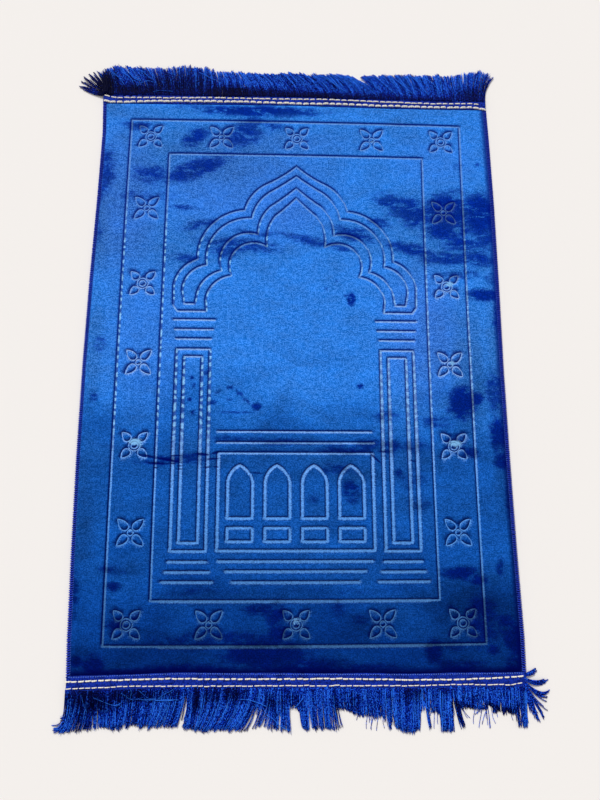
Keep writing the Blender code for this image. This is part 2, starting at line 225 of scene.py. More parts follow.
def arch_band(outer, inner):
    """The closed line of a band of the arch: down outside, up inside, and the same mirrored."""
    left = arch_half(outer) + arch_half(inner)[::-1]
    return left + [(-x, y) for x, y in left[::-1][1:-1]]


def window_line(centre):
    left, right = centre - WINDOW_HALF_WIDTH, centre + WINDOW_HALF_WIDTH
    points = [(left, WINDOW_BOTTOM), (right, WINDOW_BOTTOM), (right, WINDOW_SPRING)]
    points += lobe((right, WINDOW_SPRING), (centre, WINDOW_TOP), WINDOW_RISE)
    points += lobe((centre, WINDOW_TOP), (left, WINDOW_SPRING), WINDOW_RISE)
    return points


def leaf_line(centre, turn, base, hip):
    """A leaf along one diagonal of a flower: round at its base, widest at its hips, pointed at its tip."""
    way = Vector((math.cos(turn), math.sin(turn)))
    aside = Vector((way.y, -way.x)) * LEAF_HALF_WIDTH
    middle = Vector(centre)
    start, tip = middle + way * base, middle + way * FLOWER_TIP
    right, left = middle + way * hip + aside, middle + way * hip - aside
    round_rise = (right - start).length * (math.sqrt(2) - 1) / 2
    side_rise = (tip - right).length * LEAF_BULGE
    points = lobe(start, right, round_rise, 6) + lobe(right, tip, side_rise, 8)
    return points + lobe(tip, left, side_rise, 8) + lobe(left, start, round_rise, 6)


def flower_lines(centre, bold):
    """Four leaves along the diagonals, and one ring at the centre or, on a bold flower, two."""
    base, hip = (BOLD_LEAF_BASE, BOLD_LEAF_HIP) if bold else (LEAF_BASE, LEAF_HIP)
    turns = [math.pi * (0.25 + quarter / 2) for quarter in range(4)]
    leaves = [leaf_line(centre, turn, base, hip) for turn in turns]
    radii = BOLD_CENTRE_RADII if bold else (CENTRE_RADIUS,)
    return leaves + [circle(centre, radius, RING_STEPS) for radius in radii]


def pressed_lines():
    """Each line of the design: its points, whether it closes, and whether it is a flower's."""
    for border in BORDERS:
        yield box_line(0, Box(border.half_width, border.near, border.far)), True, False
    for row in range(FLOWER_ROWS):
        y = FLOWER_FAR_ROW - row * FLOWER_ROW_SPACING
        for column, x in enumerate(FLOWER_COLUMNS):
            if row in (0, FLOWER_ROWS - 1) or column in (0, len(FLOWER_COLUMNS) - 1):
                for line in flower_lines((x, y), (row + column) % 2 == 0):
                    yield line, True, True
    yield arch_band(ARCH_LINES[0], ARCH_LINES[3]), True, False
    yield arch_band(ARCH_LINES[1], ARCH_LINES[2]), True, False
    for axis in (-PILLAR_AXIS, PILLAR_AXIS):
        for box in PILLAR_BOXES:
            yield box_line(axis, box), True, False
        for bar in PILLAR_CAPITAL + PILLAR_BASE:
            yield bar_line(axis, bar), False, False
    for bar in CENTRE_BARS:
        yield bar_line(0, bar), False, False
    yield box_line(0, ARCADE), True, False
    for centre in WINDOWS:
        yield window_line(centre), True, False
        yield box_line(centre, PANEL_BOX), True, False


def paced(points, closed, pace):
    """The line's own points with others between them, none further apart than the pace."""
    points = np.asarray(points, float)
    ahead = np.roll(points, -1, axis=0) if closed else points[1:]
    made = []
    for here, there in zip(points, ahead):
        count = max(1, math.ceil(np.hypot(*(there - here)) / pace))
        made += [here + (there - here) * step / count for step in range(count)]
    if not closed:
        made.append(points[-1])
    return np.array(made)


def beside(points, closed, distance):
    """The line that runs beside another, to its right, with its corners mitred up to a limit."""
    way = np.roll(points, -1, axis=0) - points
    if not closed:
        way[-1] = way[-2]
    way /= np.hypot(*way.T)[:, None]
    before = np.roll(way, 1, axis=0)
    if not closed:
        before[0] = way[0]
    across = np.column_stack((way[:, 1] + before[:, 1], -way[:, 0] - before[:, 0]))
    stretch = np.maximum((across**2).sum(axis=1), 1.0)
    return points + across * (2 * distance / stretch)[:, None]


def tree_of(points):
    """A quick way to find the point nearest to a place."""
    tree = kdtree.KDTree(len(points))
    for index, (x, y) in enumerate(points):
        tree.insert((x, y, 0), index)
    tree.balance()
    return tree


class Design:
    """The pressed lines, with a quick way to find the nearest and its direction."""

    def __init__(self):
        self.lines = [
            (bowed(paced(line, closed, BOW_PACE)), closed, flower)
            for line, closed, flower in pressed_lines()
        ]
        samples, ways, flowers = [], [], []
        for points, closed, flower in self.lines:
            walk = paced(points, closed, FINE_PACE)
            samples.append(walk)
            ways.append(np.roll(walk, -1, axis=0) - walk)
            flowers.append(np.full(len(walk), flower))
        self.ways = np.concatenate(ways)
        self.flower = np.concatenate(flowers)
        self.tree = tree_of(np.concatenate(samples))

    def nearest(self, points):
        """For each point: its distance from the nearest line, measured as if all channels were as wide,
        if the line is a flower's, how upright it runs, and how far the point is on the channel's side
        towards the light, which gets the painted shade."""
        found = [self.tree.find((x, y, 0)) for x, y in points]
        index = np.array([hit[1] for hit in found])
        distance = np.array([hit[2] for hit in found])
        # The sample that was found lies a little further along the line than its nearest point.
        distance = np.sqrt(np.maximum(distance**2 - (FINE_PACE / 3) ** 2, 0))
        flower = self.flower[index]
        ways = self.ways[index]
        ways = ways / np.maximum(np.hypot(*ways.T), 1e-6)[:, None]
        away = points - np.array([tuple(hit[0])[:2] for hit in found])
        across = np.column_stack((ways[:, 1], -ways[:, 0]))
        facing = np.sign((away * across).sum(axis=1)) * (across @ LIGHT_FROM)
        scaled = distance / np.where(flower, FLOWER_CHANNEL_SCALE, 1)
        return scaled, flower, np.abs(ways[:, 1]), np.clip(facing / FULL_FACING, -1, 1)


design = Design()


def table(kind, *rows):
    """A table's rows, with the columns of their kind."""
    return [kind(*row) for row in rows]


# Where the rug was folded up, the pile keeps soft troughs: from one point to another, with their depth
# and half width. They get shallower towards their ends, down to what they are at CREASE_FADE of their
# length from them.
CREASE_FADE = 0.06
Crease = namedtuple("Crease", "x1 y1 x2 y2 depth half_width")
CREASES = table(
    Crease,
    (-352, -128, -262, -140, 0.3, 6), (-256, -147, -228, -153, 1.2, 1.8),
    (-228, -153, -186, -160.5, 1.3, 1.8), (-243, -161, -208, -163, 1.2, 1.6),
    (-212, -162, -190, -162, 0.8, 1.4), (-206, -150, -184, -149, 1.0, 1.4),
    (-194, -166, -183, -166, 0.9, 1.1), (-194, -171, -184, -171, 0.9, 1.1),
    (-232, -169, -223, -169, 0.9, 1.1), (-166, -146, -141, -148, 1.2, 1.8),
    (-200, -152, -160, -154, 0.4, 5), (-147, -155, -126, -154, 1.1, 1.5),
    (-152, -168, -139, -168, 0.9, 1.2), (-136, -167, -126, -168, 0.9, 1.2),
    (-138, -146, -126, -143, 1.2, 1.8), (-130, -142, 130, -140, 0.4, 4),
    (118, -142, 138, -162, 1.0, 1.8), (128, -141, 156, -143, 0.9, 1.5), (150, -128, 200, -139, 0.35, 6),
    (184, -156, 196, -158, 0.8, 1.5), (220, -140, 352, -150, 0.25, 7), (-76, -176, -54, -178, 0.7, 1.6),
    (58, -168, 110, -180, 0.35, 5),
)
# A narrow crease gets lines of the mesh of its own, at these shares of its half width.
NARROW_CREASE = 2
CREASE_SHARES = (-1.8, -0.8, 0, 0.8, 1.8)


def crease_drop(points):
    drop = np.zeros(len(points))
    for crease in CREASES:
        start = np.array((crease.x1, crease.y1))
        run = np.array((crease.x2, crease.y2)) - start
        share = np.clip((points - start) @ run / (run @ run), 0, 1)
        away = np.hypot(*(points - start - share[:, None] * run).T)
        fade = np.sin(np.pi * np.clip(share, CREASE_FADE, 1 - CREASE_FADE)) ** 0.5
        drop = np.maximum(drop, crease.depth * fade * np.exp(-((away / crease.half_width) ** 2)))
    return drop


# The wadding under the pile isn't even: waves of this length and height, which mostly sag
LUMP_LENGTH = 55
LUMP_HEIGHT = 0.5
LUMP_LEVEL = 0.35


def face_height(points, distance, flower, facing):
    """How high the pile stands at each point. A channel's side towards the light is the steeper one."""
    x, y = points.T
    side = np.minimum(x - side_x(LEFT_SIDE, y), side_x(RIGHT_SIDE, y) - x)
    rim = np.interp(side, SIDE_INSETS, RIM_HEIGHTS)
    rim = np.minimum(rim, np.interp(y - end_y(NEAR_END, x), NEAR_INSETS, RIM_HEIGHTS))
    rim = np.minimum(rim, np.interp(end_y(FAR_END, x) - y, FAR_INSETS, RIM_HEIGHTS))
    depth = np.where(flower, FLOWER_CHANNEL_DEPTH, CHANNEL_DEPTH)
    steeper = distance * (1 + STEEPER_SIDE * facing)
    drop = depth * np.interp(steeper, CHANNEL_INSETS, CHANNEL_DROPS)
    lumps = [noise.noise(Vector((a, b, 0)) / LUMP_LENGTH) for a, b in points]
    inner = np.clip((rim - PRESSED_RIM) / RIM_EASE, 0, 1)
    sag = LUMP_HEIGHT * (np.array(lumps) - LUMP_LEVEL) * inner
    height = rim - drop - crease_drop(points) * inner + sag
    return np.clip(height, RIM_HEIGHTS[0], MAT_THICKNESS)


def end_span(out):
    """Where the two sides meet the near end, with out -1, or the far end, with out 1."""
    return side_x(LEFT_SIDE, out * MAT_END), side_x(RIGHT_SIDE, out * MAT_END)


def mat_outline():
    """Points round the cut edge, anticlockwise from the near left corner."""
    left, right = end_span(-1)
    across = np.linspace(left, right, round((right - left) / OUTLINE_PACE))[:-1]
    near = [(x, end_y(NEAR_END, x)) for x in across]
    steps = round(2 * MAT_END / OUTLINE_PACE)
    up = np.linspace(near[0][1], FAR_END[-1], steps)[:-1]
    left, right = end_span(1)
    back = np.linspace(right, left, round((right - left) / OUTLINE_PACE))[:-1]
    down = np.linspace(FAR_END[0], near[0][1], steps)[:-1]
    ring = near + [(side_x(RIGHT_SIDE, y), y) for y in up]
    ring += [(x, end_y(FAR_END, x)) for x in back]
    ring += [(side_x(LEFT_SIDE, y), y) for y in down]
    return np.array(ring, float)


def inset_ring(ring, side, near, far):
    """The outline drawn in by one distance from the sides and others from the ends."""
    x, y = ring.T
    share_x = x / MAT_HALF_WIDTH
    share_y = y / MAT_HALF_LENGTH
    end = np.where(y < 0, near, far)
    return np.column_stack((x - side * share_x, y - end * share_y))


def mat_plan():
    """Points and edges in plan: the outline, its inset rings, the design's channels, and loose points."""
    ring = mat_outline()
    walks = [(ring, True)]
    for side, near, far in list(zip(SIDE_INSETS, NEAR_INSETS, FAR_INSETS))[1:]:
        walks.append((inset_ring(ring, side, near, far), True))
    for points, closed, flower in design.lines:
        walk = paced(points, closed, FLOWER_PACE if flower else PACE)
        insets = CHANNEL_INSETS[1:3] if flower else CHANNEL_INSETS[1:5]
        scale = FLOWER_CHANNEL_SCALE if flower else 1
        walks.append((walk, closed))
        for inset in insets:
            for side in (-inset * scale, inset * scale):
                walks.append((beside(walk, closed, side), closed))
    for crease in CREASES:
        if crease.half_width < NARROW_CREASE:
            walk = paced([(crease.x1, crease.y1), (crease.x2, crease.y2)], False, FLOWER_PACE)
            walks += [(beside(walk, False, s * crease.half_width), False) for s in CREASE_SHARES]
    points = np.concatenate([walk for walk, _ in walks])
    edges = []
    first = 0
    for walk, closed in walks:
        count = len(walk)
        edges += [(first + step, first + step + 1) for step in range(count - 1)]
        if closed:
            edges.append((first + count - 1, first))
        first += count
    tree = tree_of(points)
    loose = []
    rows = round(2 * MAT_HALF_LENGTH / LOOSE_PITCH)
    columns = round(2 * MAT_HALF_WIDTH / LOOSE_PITCH)
    for row in range(1, rows):
        for column in range(1, columns):
            x = -MAT_HALF_WIDTH + (column + row % 2 / 2) * LOOSE_PITCH
            y = -MAT_HALF_LENGTH + row * LOOSE_PITCH
            left, right = side_x(LEFT_SIDE, y) + LOOSE_MARGIN, side_x(RIGHT_SIDE, y) - LOOSE_MARGIN
            inside = left < x < right and abs(y) < MAT_HALF_LENGTH - LOOSE_MARGIN
            if inside and tree.find((x, y, 0))[2] > LOOSE_CLEARANCE:
                loose.append((x, y))
    return np.concatenate((points, loose)), edges, len(ring)


# Where a hand or a foot has turned the nap, it looks dark: each patch's centre, its half length and
# half width, how dark it is, and how far it is turned in degrees. It is darkest near its centre, and it
# fades out at PATCH_EDGE times its size.
PATCH_EDGE = 1.95
PATCH_FADE = 1.55
Patch = namedtuple("Patch", "x y length width dark turn", defaults=(0,))
PATCHES = table(
    Patch,
    # the far end, and the border there
    (-70, 475, 95, 9, 1.0), (-60, 473, 60, 11, 0.6), (-170, 480, 50, 7, 0.45),
    (-182, 421, 24, 14, 0.75, 40), (-92, 433, 38, 24, 0.7, 30), (-180, 358, 54, 15, 0.8, 22),
    (-205, 347, 28, 14, 0.55, 10), (-286, 442, 22, 9, 0.6), (-48, 446, 24, 12, 0.55),
    (-256, 346, 30, 18, 0.6), (-336, 350, 14, 42, 0.7), (-343, 318, 8, 24, 0.6),
    (-198, 284, 26, 3.5, 0.7, -4), (-172, 251, 30, 7, 0.7, 12), (-286, 306, 30, 8, 0.4, 6),
    (-240, 306, 26, 10, 0.4, -4), (-312, 283, 20, 3, 0.35), (-344, 235, 8, 20, 0.45),
    (325, 375, 5, 4, 0.8), (309, 365, 8, 3, 0.4, 30), (290, 372, 12, 8, 0.3),
    # across the arch
    (-100, 216, 62, 12, 0.66, -4), (-128, 206, 26, 14, 0.55, -8), (-72, 238, 40, 5, 0.5, -6),
    (-14, 234, 70, 6, 0.45, -7), (34, 222, 40, 7, 0.7, -9), (66, 214, 30, 5, 0.6, -12),
    (104, 234, 30, 8, 0.8, -10), (92, 248, 36, 6, 0.6, -6), (182, 292, 44, 19, 0.7, -22),
    (205, 280, 32, 24, 0.8, -30), (146, 262, 20, 9, 0.6, -14), (200, 212, 38, 10, 0.75, -12),
    (160, 226, 20, 4, 0.4, -8), (266, 284, 38, 28, 0.95), (268, 250, 40, 18, 0.85, 5),
    (290, 222, 34, 12, 0.75), (286, 316, 24, 12, 0.5), (324, 280, 24, 34, 1.05),
    (330, 240, 14, 24, 0.7), (268, 196, 50, 11, 0.7), (284, 166, 30, 9, 0.5),
    (-190, 190, 30, 9, 0.5, -10), (316, 196, 28, 14, 0.7), (322, 130, 24, 10, 1.0),
    (342, 85, 7, 22, 0.5), (336, 160, 10, 10, 0.5),
    # specks in the middle field
    (93, 120, 6, 10, 1.1), (84, 125, 4, 4, 0.6), (50, 138, 5, 3, 0.55), (68, 152, 5, 4, 0.4),
    (-327, 36, 11, 12, 0.5), (-333, -54, 8, 7, 0.6), (-175, -20, 3, 4, 0.9), (-170, -34, 4, 3, 0.9),
    (-176, -57, 3, 3, 0.9), (-171, -80, 4, 4, 1.0), (-150, -12, 5, 5, 0.6), (-138, -62, 6, 4, 0.7),
    (-130, -44, 6, 2.5, 0.7, 20), (-110, -36, 7, 2.5, 0.7, 30), (-112, -56, 6, 2.5, 0.7, -20),
    (-96, -46, 8, 2.5, 0.7, -30), (-84, -58, 8, 2.5, 0.7, -40), (-66, -68, 7, 5, 1.0),
    (-104, -78, 30, 3, 0.5), (106, -33, 6, 4, 0.85),
    # down the right-hand side
    (276, -60, 19, 24, 1.15, -20), (300, -52, 9, 11, 1.0), (331, -40, 14, 32, 0.6),
    (332, -112, 12, 24, 1.0), (262, -128, 18, 14, 0.5), (288, -144, 12, 8, 0.8),
    (338, -158, 12, 12, 0.85), (343, -222, 6, 24, 0.5), (264, -334, 26, 9, 0.95),
    (288, -345, 12, 7, 0.8), (236, -331, 12, 6, 0.5), (324, -326, 6, 14, 0.6),
    (338, -432, 12, 26, 1.0, 10), (338, -470, 14, 14, 0.8), (290, -438, 26, 10, 0.45),
    (246, -442, 20, 8, 0.4),
    # below the right-hand capital
    (150, -84, 22, 10, 0.5), (236, -92, 26, 10, 0.5), (196, -134, 22, 14, 0.45),
    (188, -186, 22, 16, 0.4), (198, -226, 18, 12, 0.45),
    # along the fold, and over the arcade
    (-232, -160, 34, 4, 0.6, -4), (-198, -156, 32, 4, 0.7, -6), (-172, -152, 26, 8, 0.6),
    (-97, -122, 42, 6, 0.5), (-10, -127, 60, 7, 0.45), (84, -139, 40, 7, 0.7), (118, -130, 20, 9, 0.6),
    (152, -136, 18, 12, 0.65), (165, -176, 6, 5, 1.0), (70, -171, 16, 8, 0.6), (50, -168, 9, 10, 0.5),
    (88, -207, 13, 17, 0.75, 20), (28, -218, 12, 9, 0.4),
    # the near end
    (-287, -328, 18, 7, 0.6, -10), (-284, -353, 10, 6, 0.8), (-344, -365, 7, 34, 0.6),
    (-280, -407, 14, 9, 0.7), (-335, -461, 9, 7, 1.0), (-308, -466, 13, 12, 1.0),
    (-170, -476, 60, 9, 0.8), (-250, -477, 44, 5, 0.6), (-50, -452, 52, 20, 1.0),
    (-30, -412, 14, 30, 0.8), (-54, -388, 26, 7, 0.8), (-120, -432, 90, 14, 0.55),
    (20, -470, 60, 10, 0.8), (66, -386, 10, 12, 0.5), (100, -404, 16, 7, 0.5), (100, -474, 60, 6, 0.7),
    (212, -452, 12, 16, 0.9), (250, -472, 34, 8, 0.8), (290, -404, 20, 34, 0.8), (306, -448, 9, 8, 0.8),
    (324, -412, 9, 12, 0.9), (70, -360, 120, 5, 0.3), (-150, -362, 60, 6, 0.4),
)
# Broad stretches where the whole nap leans a little
LEANING = table(
    Patch,
    (-170, 385, 130, 50, 0.75), (-300, 320, 30, 60, 0.6), (-345, 230, 22, 62, 1.0),
    (-225, 215, 90, 40, 0.55), (20, 395, 60, 40, 0.35), (240, 250, 66, 60, 0.7),
    (325, 230, 30, 60, 0.35), (120, 230, 60, 26, 0.45, -8), (-120, 205, 80, 26, 0.3, -4),
    (290, -10, 26, 90, 0.95), (340, 20, 16, 90, 0.9), (235, 20, 26, 60, 0.4), (-340, 30, 14, 80, 0.75),
    (-340, -150, 14, 40, 0.6), (-340, -260, 18, 60, 0.75), (340, -180, 14, 40, 0.8),
    (285, -405, 70, 60, 1.0), (285, -345, 50, 20, 0.5), (150, -425, 110, 34, 0.5),
    (190, -150, 60, 14, 0.4), (0, -152, 330, 18, 0.45), (-60, -430, 120, 26, 0.5),
    (-225, -460, 130, 22, 0.7), (-345, -480, 20, 20, 0.9), (230, -60, 50, 22, 0.4),
    (80, -178, 80, 14, 0.5), (-85, -360, 90, 16, 0.4), (190, 490, 140, 12, 0.5),
    (195, 441, 30, 20, 0.6), (-335, 480, 20, 16, 0.8), (-260, 465, 60, 10, 0.5),
    (85, 432, 40, 20, 0.45),
)
# Where the pile shows more violet
VIOLET = table(
    Patch,
    (-300, 300, 50, 110, 1.0), (-110, 330, 130, 70, 0.8), (-20, 300, 60, 60, 0.9),
    (-250, 60, 60, 100, 0.5), (215, 60, 50, 90, 1.0), (250, 380, 60, 40, 0.4), (-60, 410, 120, 20, 0.6),
)
# Centres of flowers that glint
GLINTS = table(
    Patch,
    (-262, -127, 9, 5, 1.0), (-253, -131, 4, 5, 0.7), (262, -128, 9, 5, 0.9), (262, 8, 4, 4, 0.8),
    (-261, 4, 3, 3, 0.5), (264, 149, 6, 4, 0.9), (-261, 144, 5, 4, 0.4), (136, 421, 4, 4, 0.5),
    (0, -406, 6, 6, 0.5), (-134, -406, 4, 4, 0.35), (-260, -268, 5, 4, 0.4), (262, -268, 5, 4, 0.4),
)
# Channels at least as upright as STEEP glint in beads between two places, where they fade in and out
# over some distance. The ones on the left glint most.
STEEP, STEEP_EASE = 0.75, 0.2
BEADS_FROM, BEADS_IN = 310, 90
BEADS_TO, BEADS_OUT = -150, 60
RIGHT_BEADS = 0.5
# How dark the painted shade over a channel is and how pale its floor, partly a painted highlight,
# at places across the channel from its middle, less than 0 on one side and more on the side
# towards the light
CHANNEL_SHADE_PLACES = (0.3, 0.9, 2.4, 3.1, 3.9)
CHANNEL_SHADE = (0, 0.9, 1, 0.5, 0)
FLOOR_PLACES = (-3.4, -2.2, -0.8, 0.5, 1.2)
FLOOR = (0, 0.6, 1, 0.9, 0)
# Near its middle a channel bares its floor however it runs: how much at these distances.
FLOOR_CORE = ((1.2, 2.6), (1, 0))
# Between the pillars' outer sides the floor is wider towards the near end, from the first of these
# places to the second. Level channels widen only below the arcade's top.
NARROW_FLOOR = 0.85
WIDENS_FROM, WIDENS_TO = 120, -120
WIDE_HALF_WIDTH = 212
LEVELS_WIDEN_BELOW = -155
UPRIGHT_WIDENING, LEVEL_WIDENING = 0.5, 0.42
# Wide uprights get painted shade on their other side too: how much at these places across.
OTHER_SIDE = ((1.8, 2.6, 3.4, 4.4), (0, 0.45, 0.27, 0))
# The pile gets painted shade too along the right-hand and the near edge, and under the stitches on
# the left: how dark at these insets.
RIGHT_EDGE_SHADE = ((0, 5, 10, 15), (1, 1, 0.7, 0))
LEFT_EDGE_SHADE = ((4.5, 5.5), (1, 0))
NEAR_EDGE_SHADE = ((0, 18, 23, 28), (1, 1, 0.7, 0))


def patched(points, patches):
    """How dark each point is, from a table of patches."""
    turned = np.zeros(len(points))
    for patch in patches:
        angle = math.radians(patch.turn)
        x, y = (points - (patch.x, patch.y)).T
        along = (x * math.cos(angle) + y * math.sin(angle)) / patch.length
        across = (y * math.cos(angle) - x * math.sin(angle)) / patch.width
        fade = np.clip((PATCH_EDGE - np.hypot(along, across)) / PATCH_FADE, 0, 1)
        turned = np.maximum(turned, patch.dark * fade * fade * (3 - 2 * fade))
    return turned


def beaded(points, upright, flower):
    """How much the channel near each point glints in beads."""
    x, y = points.T
    steep = np.clip((upright - STEEP) / STEEP_EASE, 0, 1) * np.where(flower, 0, 1)
    along = np.clip((BEADS_FROM - y) / BEADS_IN, 0, 1) * np.clip((y - BEADS_TO) / BEADS_OUT, 0, 1)
    return steep * along * np.where(x < 0, 1, RIGHT_BEADS)


def hold(mesh, measures):
    """Gives the mesh these measures, with a value for each of its points."""
    for name, values in measures.items():
        mesh.attributes.new(name, "FLOAT", "POINT").data.foreach_set("value", values)


def added(name, data):
    """A new object in the scene."""
    made = bpy.data.objects.new(name, data)
    bpy.context.scene.collection.objects.link(made)
    return made


def mat_measures(points, distance, flower, upright, facing):
    """What the pile's colour goes by at each point of the mat's face."""
    across = distance * np.sign(facing)
    side = np.abs(facing)
    x, y = points.T
    widening = np.where(upright > 0.5, UPRIGHT_WIDENING, LEVEL_WIDENING)
    widening = NARROW_FLOOR + widening * np.interp(y, (WIDENS_TO, WIDENS_FROM), (1, 0))
    narrow = (np.abs(x) > WIDE_HALF_WIDTH) | ((upright < 0.5) & (y > LEVELS_WIDEN_BELOW))
    widening = np.where(flower | narrow, NARROW_FLOOR, widening)
    floor_across = across / widening
    core = np.interp(distance / widening, *FLOOR_CORE)
    # Painted shade along the right-hand and near edges and under the left side's stitches
    edge_shade = np.interp(side_x(RIGHT_SIDE, y) - x, *RIGHT_EDGE_SHADE)
    edge_shade = np.maximum(edge_shade, np.interp(x - side_x(LEFT_SIDE, y), *LEFT_EDGE_SHADE))
    edge_shade = np.maximum(edge_shade, np.interp(y - end_y(NEAR_END, x), *NEAR_EDGE_SHADE))
    # Painted shade on each channel's side towards the light, and on the other side of wide uprights
    painted_shade = np.interp(across, CHANNEL_SHADE_PLACES, CHANNEL_SHADE) * side
    other_side = np.interp(-floor_across, *OTHER_SIDE) * (widening > 1)
    return {
        "painted_shade": np.maximum(np.maximum(painted_shade, other_side), edge_shade),
        "pressed": np.interp(floor_across, FLOOR_PLACES, FLOOR) * np.maximum(side, core),
        "beads": beaded(points, upright, flower),
        "turned": patched(points, PATCHES),
        "leaning": patched(points, LEANING),
        "glint": patched(points, GLINTS),
        "violet": patched(points, VIOLET),
        "crease_shade": crease_drop(points),
    }


def mat_mesh():
    """The mat: its face in small triangles, its low rim, and its flat underside as the last face."""
    points, edges, rim_count = mat_plan()
    rim = [list(range(rim_count))]
    made = delaunay_2d_cdt([Vector(p) for p in points], edges, rim, 0, MERGE_DISTANCE, True)
    plan, _, triangles, origins, _, owners = made
    face = [triangle for triangle, owner in zip(triangles, owners) if owner]
    flat = np.array([(p.x, p.y) for p in plan])
    distance, flower, upright, facing = design.nearest(flat)
    heights = face_height(flat, distance, flower, facing)
    found = {origin: index for index, known in enumerate(origins) for origin in known}
    rim_top = [found[index] for index in range(rim_count)]
    count = len(flat)
    rim_foot = np.column_stack((flat[rim_top], np.zeros(rim_count)))
    places = np.vstack((np.column_stack((flat, heights)), rim_foot))
    walls = []
    for step in range(rim_count):
        after = (step + 1) % rim_count
        walls.append((count + step, count + after, rim_top[after], rim_top[step]))
    underside = tuple(range(count, count + rim_count))[::-1]
    mesh = bpy.data.meshes.new("padded_mat_plush")
    mesh.from_pydata(places * MM, [], face + walls + [underside])
    measures = mat_measures(flat, distance, flower, upright, facing)
    under_rim = np.zeros(rim_count)
    hold(mesh, {name: np.append(values, under_rim) for name, values in measures.items()})
    mesh.shade_smooth()
    mesh.polygons[len(mesh.polygons) - 1].use_smooth = False
    return mesh


class Value:
    """A socket of a material's nodes, on which arithmetic adds Math nodes."""

    def __init__(self, socket):
        self.socket = socket

    def node(self, kind, settings=None, sockets=None, output=0):
        """A node in this value's tree: its settings come first, then its sockets' numbers or links."""
        tree = self.socket.id_data
        made = tree.nodes.new(kind)
        for name, setting in (settings or {}).items():
            setattr(made, name, setting)
        for name, given in (sockets or {}).items():
            if isinstance(given, Value):
                tree.links.new(given.socket, made.inputs[name])
            else:
                made.inputs[name].default_value = given
        return Value(made.outputs[output])

    def math(self, operation, *given):
        return self.node("ShaderNodeMath", {"operation": operation}, dict(enumerate(given)))

    def __add__(self, other):
        return self.math("ADD", self, other)

    __radd__ = __add__

    def __sub__(self, other):
        return self.math("SUBTRACT", self, other)

    def __rsub__(self, other):
        return self.math("SUBTRACT", other, self)

    def __mul__(self, other):
        return self.math("MULTIPLY", self, other)

    __rmul__ = __mul__

    def wave(self):
        return self.math("SINE", self)

    def eased(self, low, high):
        """0 below low and 1 above high, with a soft step between them."""
        limits = {"Value": self, "From Min": low, "From Max": high}
        return self.node("ShaderNodeMapRange", {"interpolation_type": "SMOOTHSTEP"}, limits)

    def measure(self, name):
        """A measure that the mesh holds at each point."""
        return self.node("ShaderNodeAttribute", {"attribute_name": name}, output=2)

    def stretched(self, x, y, z):
        """These coordinates, counted in grains of the given size in metres along each axis."""
        sizes = (1 / x, 1 / y, 1 / z)
        return self.node("ShaderNodeVectorMath", {"operation": "MULTIPLY"}, {0: self, 1: sizes})

    def grain(self, detail=2.0, roughness=0.5):
        """Noise from 0 to 1 in these coordinates, one grain to the unit."""
        return self.node(
            "ShaderNodeTexNoise",
            {"noise_dimensions": "3D"},
            {"Vector": self, "Scale": 1.0, "Detail": detail, "Roughness": roughness},
        )

    def between(self, low, high):
        """The colour low where this is 0, and high where it is 1."""
        return self.node(
            "ShaderNodeMix", {"data_type": "RGBA"}, {0: self, 6: low, 7: high}, output=2
        )

    def shaded(self, strength):
        """This colour, made lighter or darker."""
        return self.node("ShaderNodeVectorMath", {"operation": "SCALE"}, {0: self, "Scale": strength})


def dye(red, green, blue):
    """A colour of 0 to 255 on the screen, as the shader counts it."""
    parts = [part / 255 for part in (red, green, blue)]
    linear = [p / 12.92 if p <= 0.04045 else ((p + 0.055) / 1.055) ** 2.4 for p in parts]
    return (*linear, 1)


def new_finish(name, **fixed):
    """A material: itself, its shader with these fixed values, and the place of each point on it."""
    material = bpy.data.materials.new(name)
    material.use_nodes = True
    shader = material.node_tree.nodes["Principled BSDF"]
    for socket, value in fixed.items():
        shader.inputs[socket.replace("_", " ")].default_value = value
    coordinates = material.node_tree.nodes.new("ShaderNodeTexCoord")
    return material, shader, Value(coordinates.outputs["Object"])


def wire(value, shader, socket):
    shader.id_data.links.new(value.socket, shader.inputs[socket])


def bump(height, distance, strength=1.0):
    return height.node(
        "ShaderNodeBump", sockets={"Height": height, "Distance": distance, "Strength": strength}
    )


PILE_LIT = dye(20, 121, 229)
PILE_PALE = dye(108, 168, 244)
PILE_IN_SHADE = dye(1, 29, 108)
PILE_TURNED = dye(0, 36, 142)
PILE_DARKEST = dye(0, 12, 78)
PILE_VIOLET = dye(54, 100, 218)
PAINTED_SHADE_FAR = dye(0, 20, 128)
PAINTED_SHADE_NEAR = dye(0, 2, 80)
CHANNEL_FAR = dye(100, 148, 216)
CHANNEL_MIDDLE = dye(132, 172, 228)
CHANNEL_NEAR = dye(96, 162, 240)
BEAD = dye(134, 194, 240)
BEAD_GAP = dye(24, 62, 150)
BEAD_PITCH = 14.2 * MM


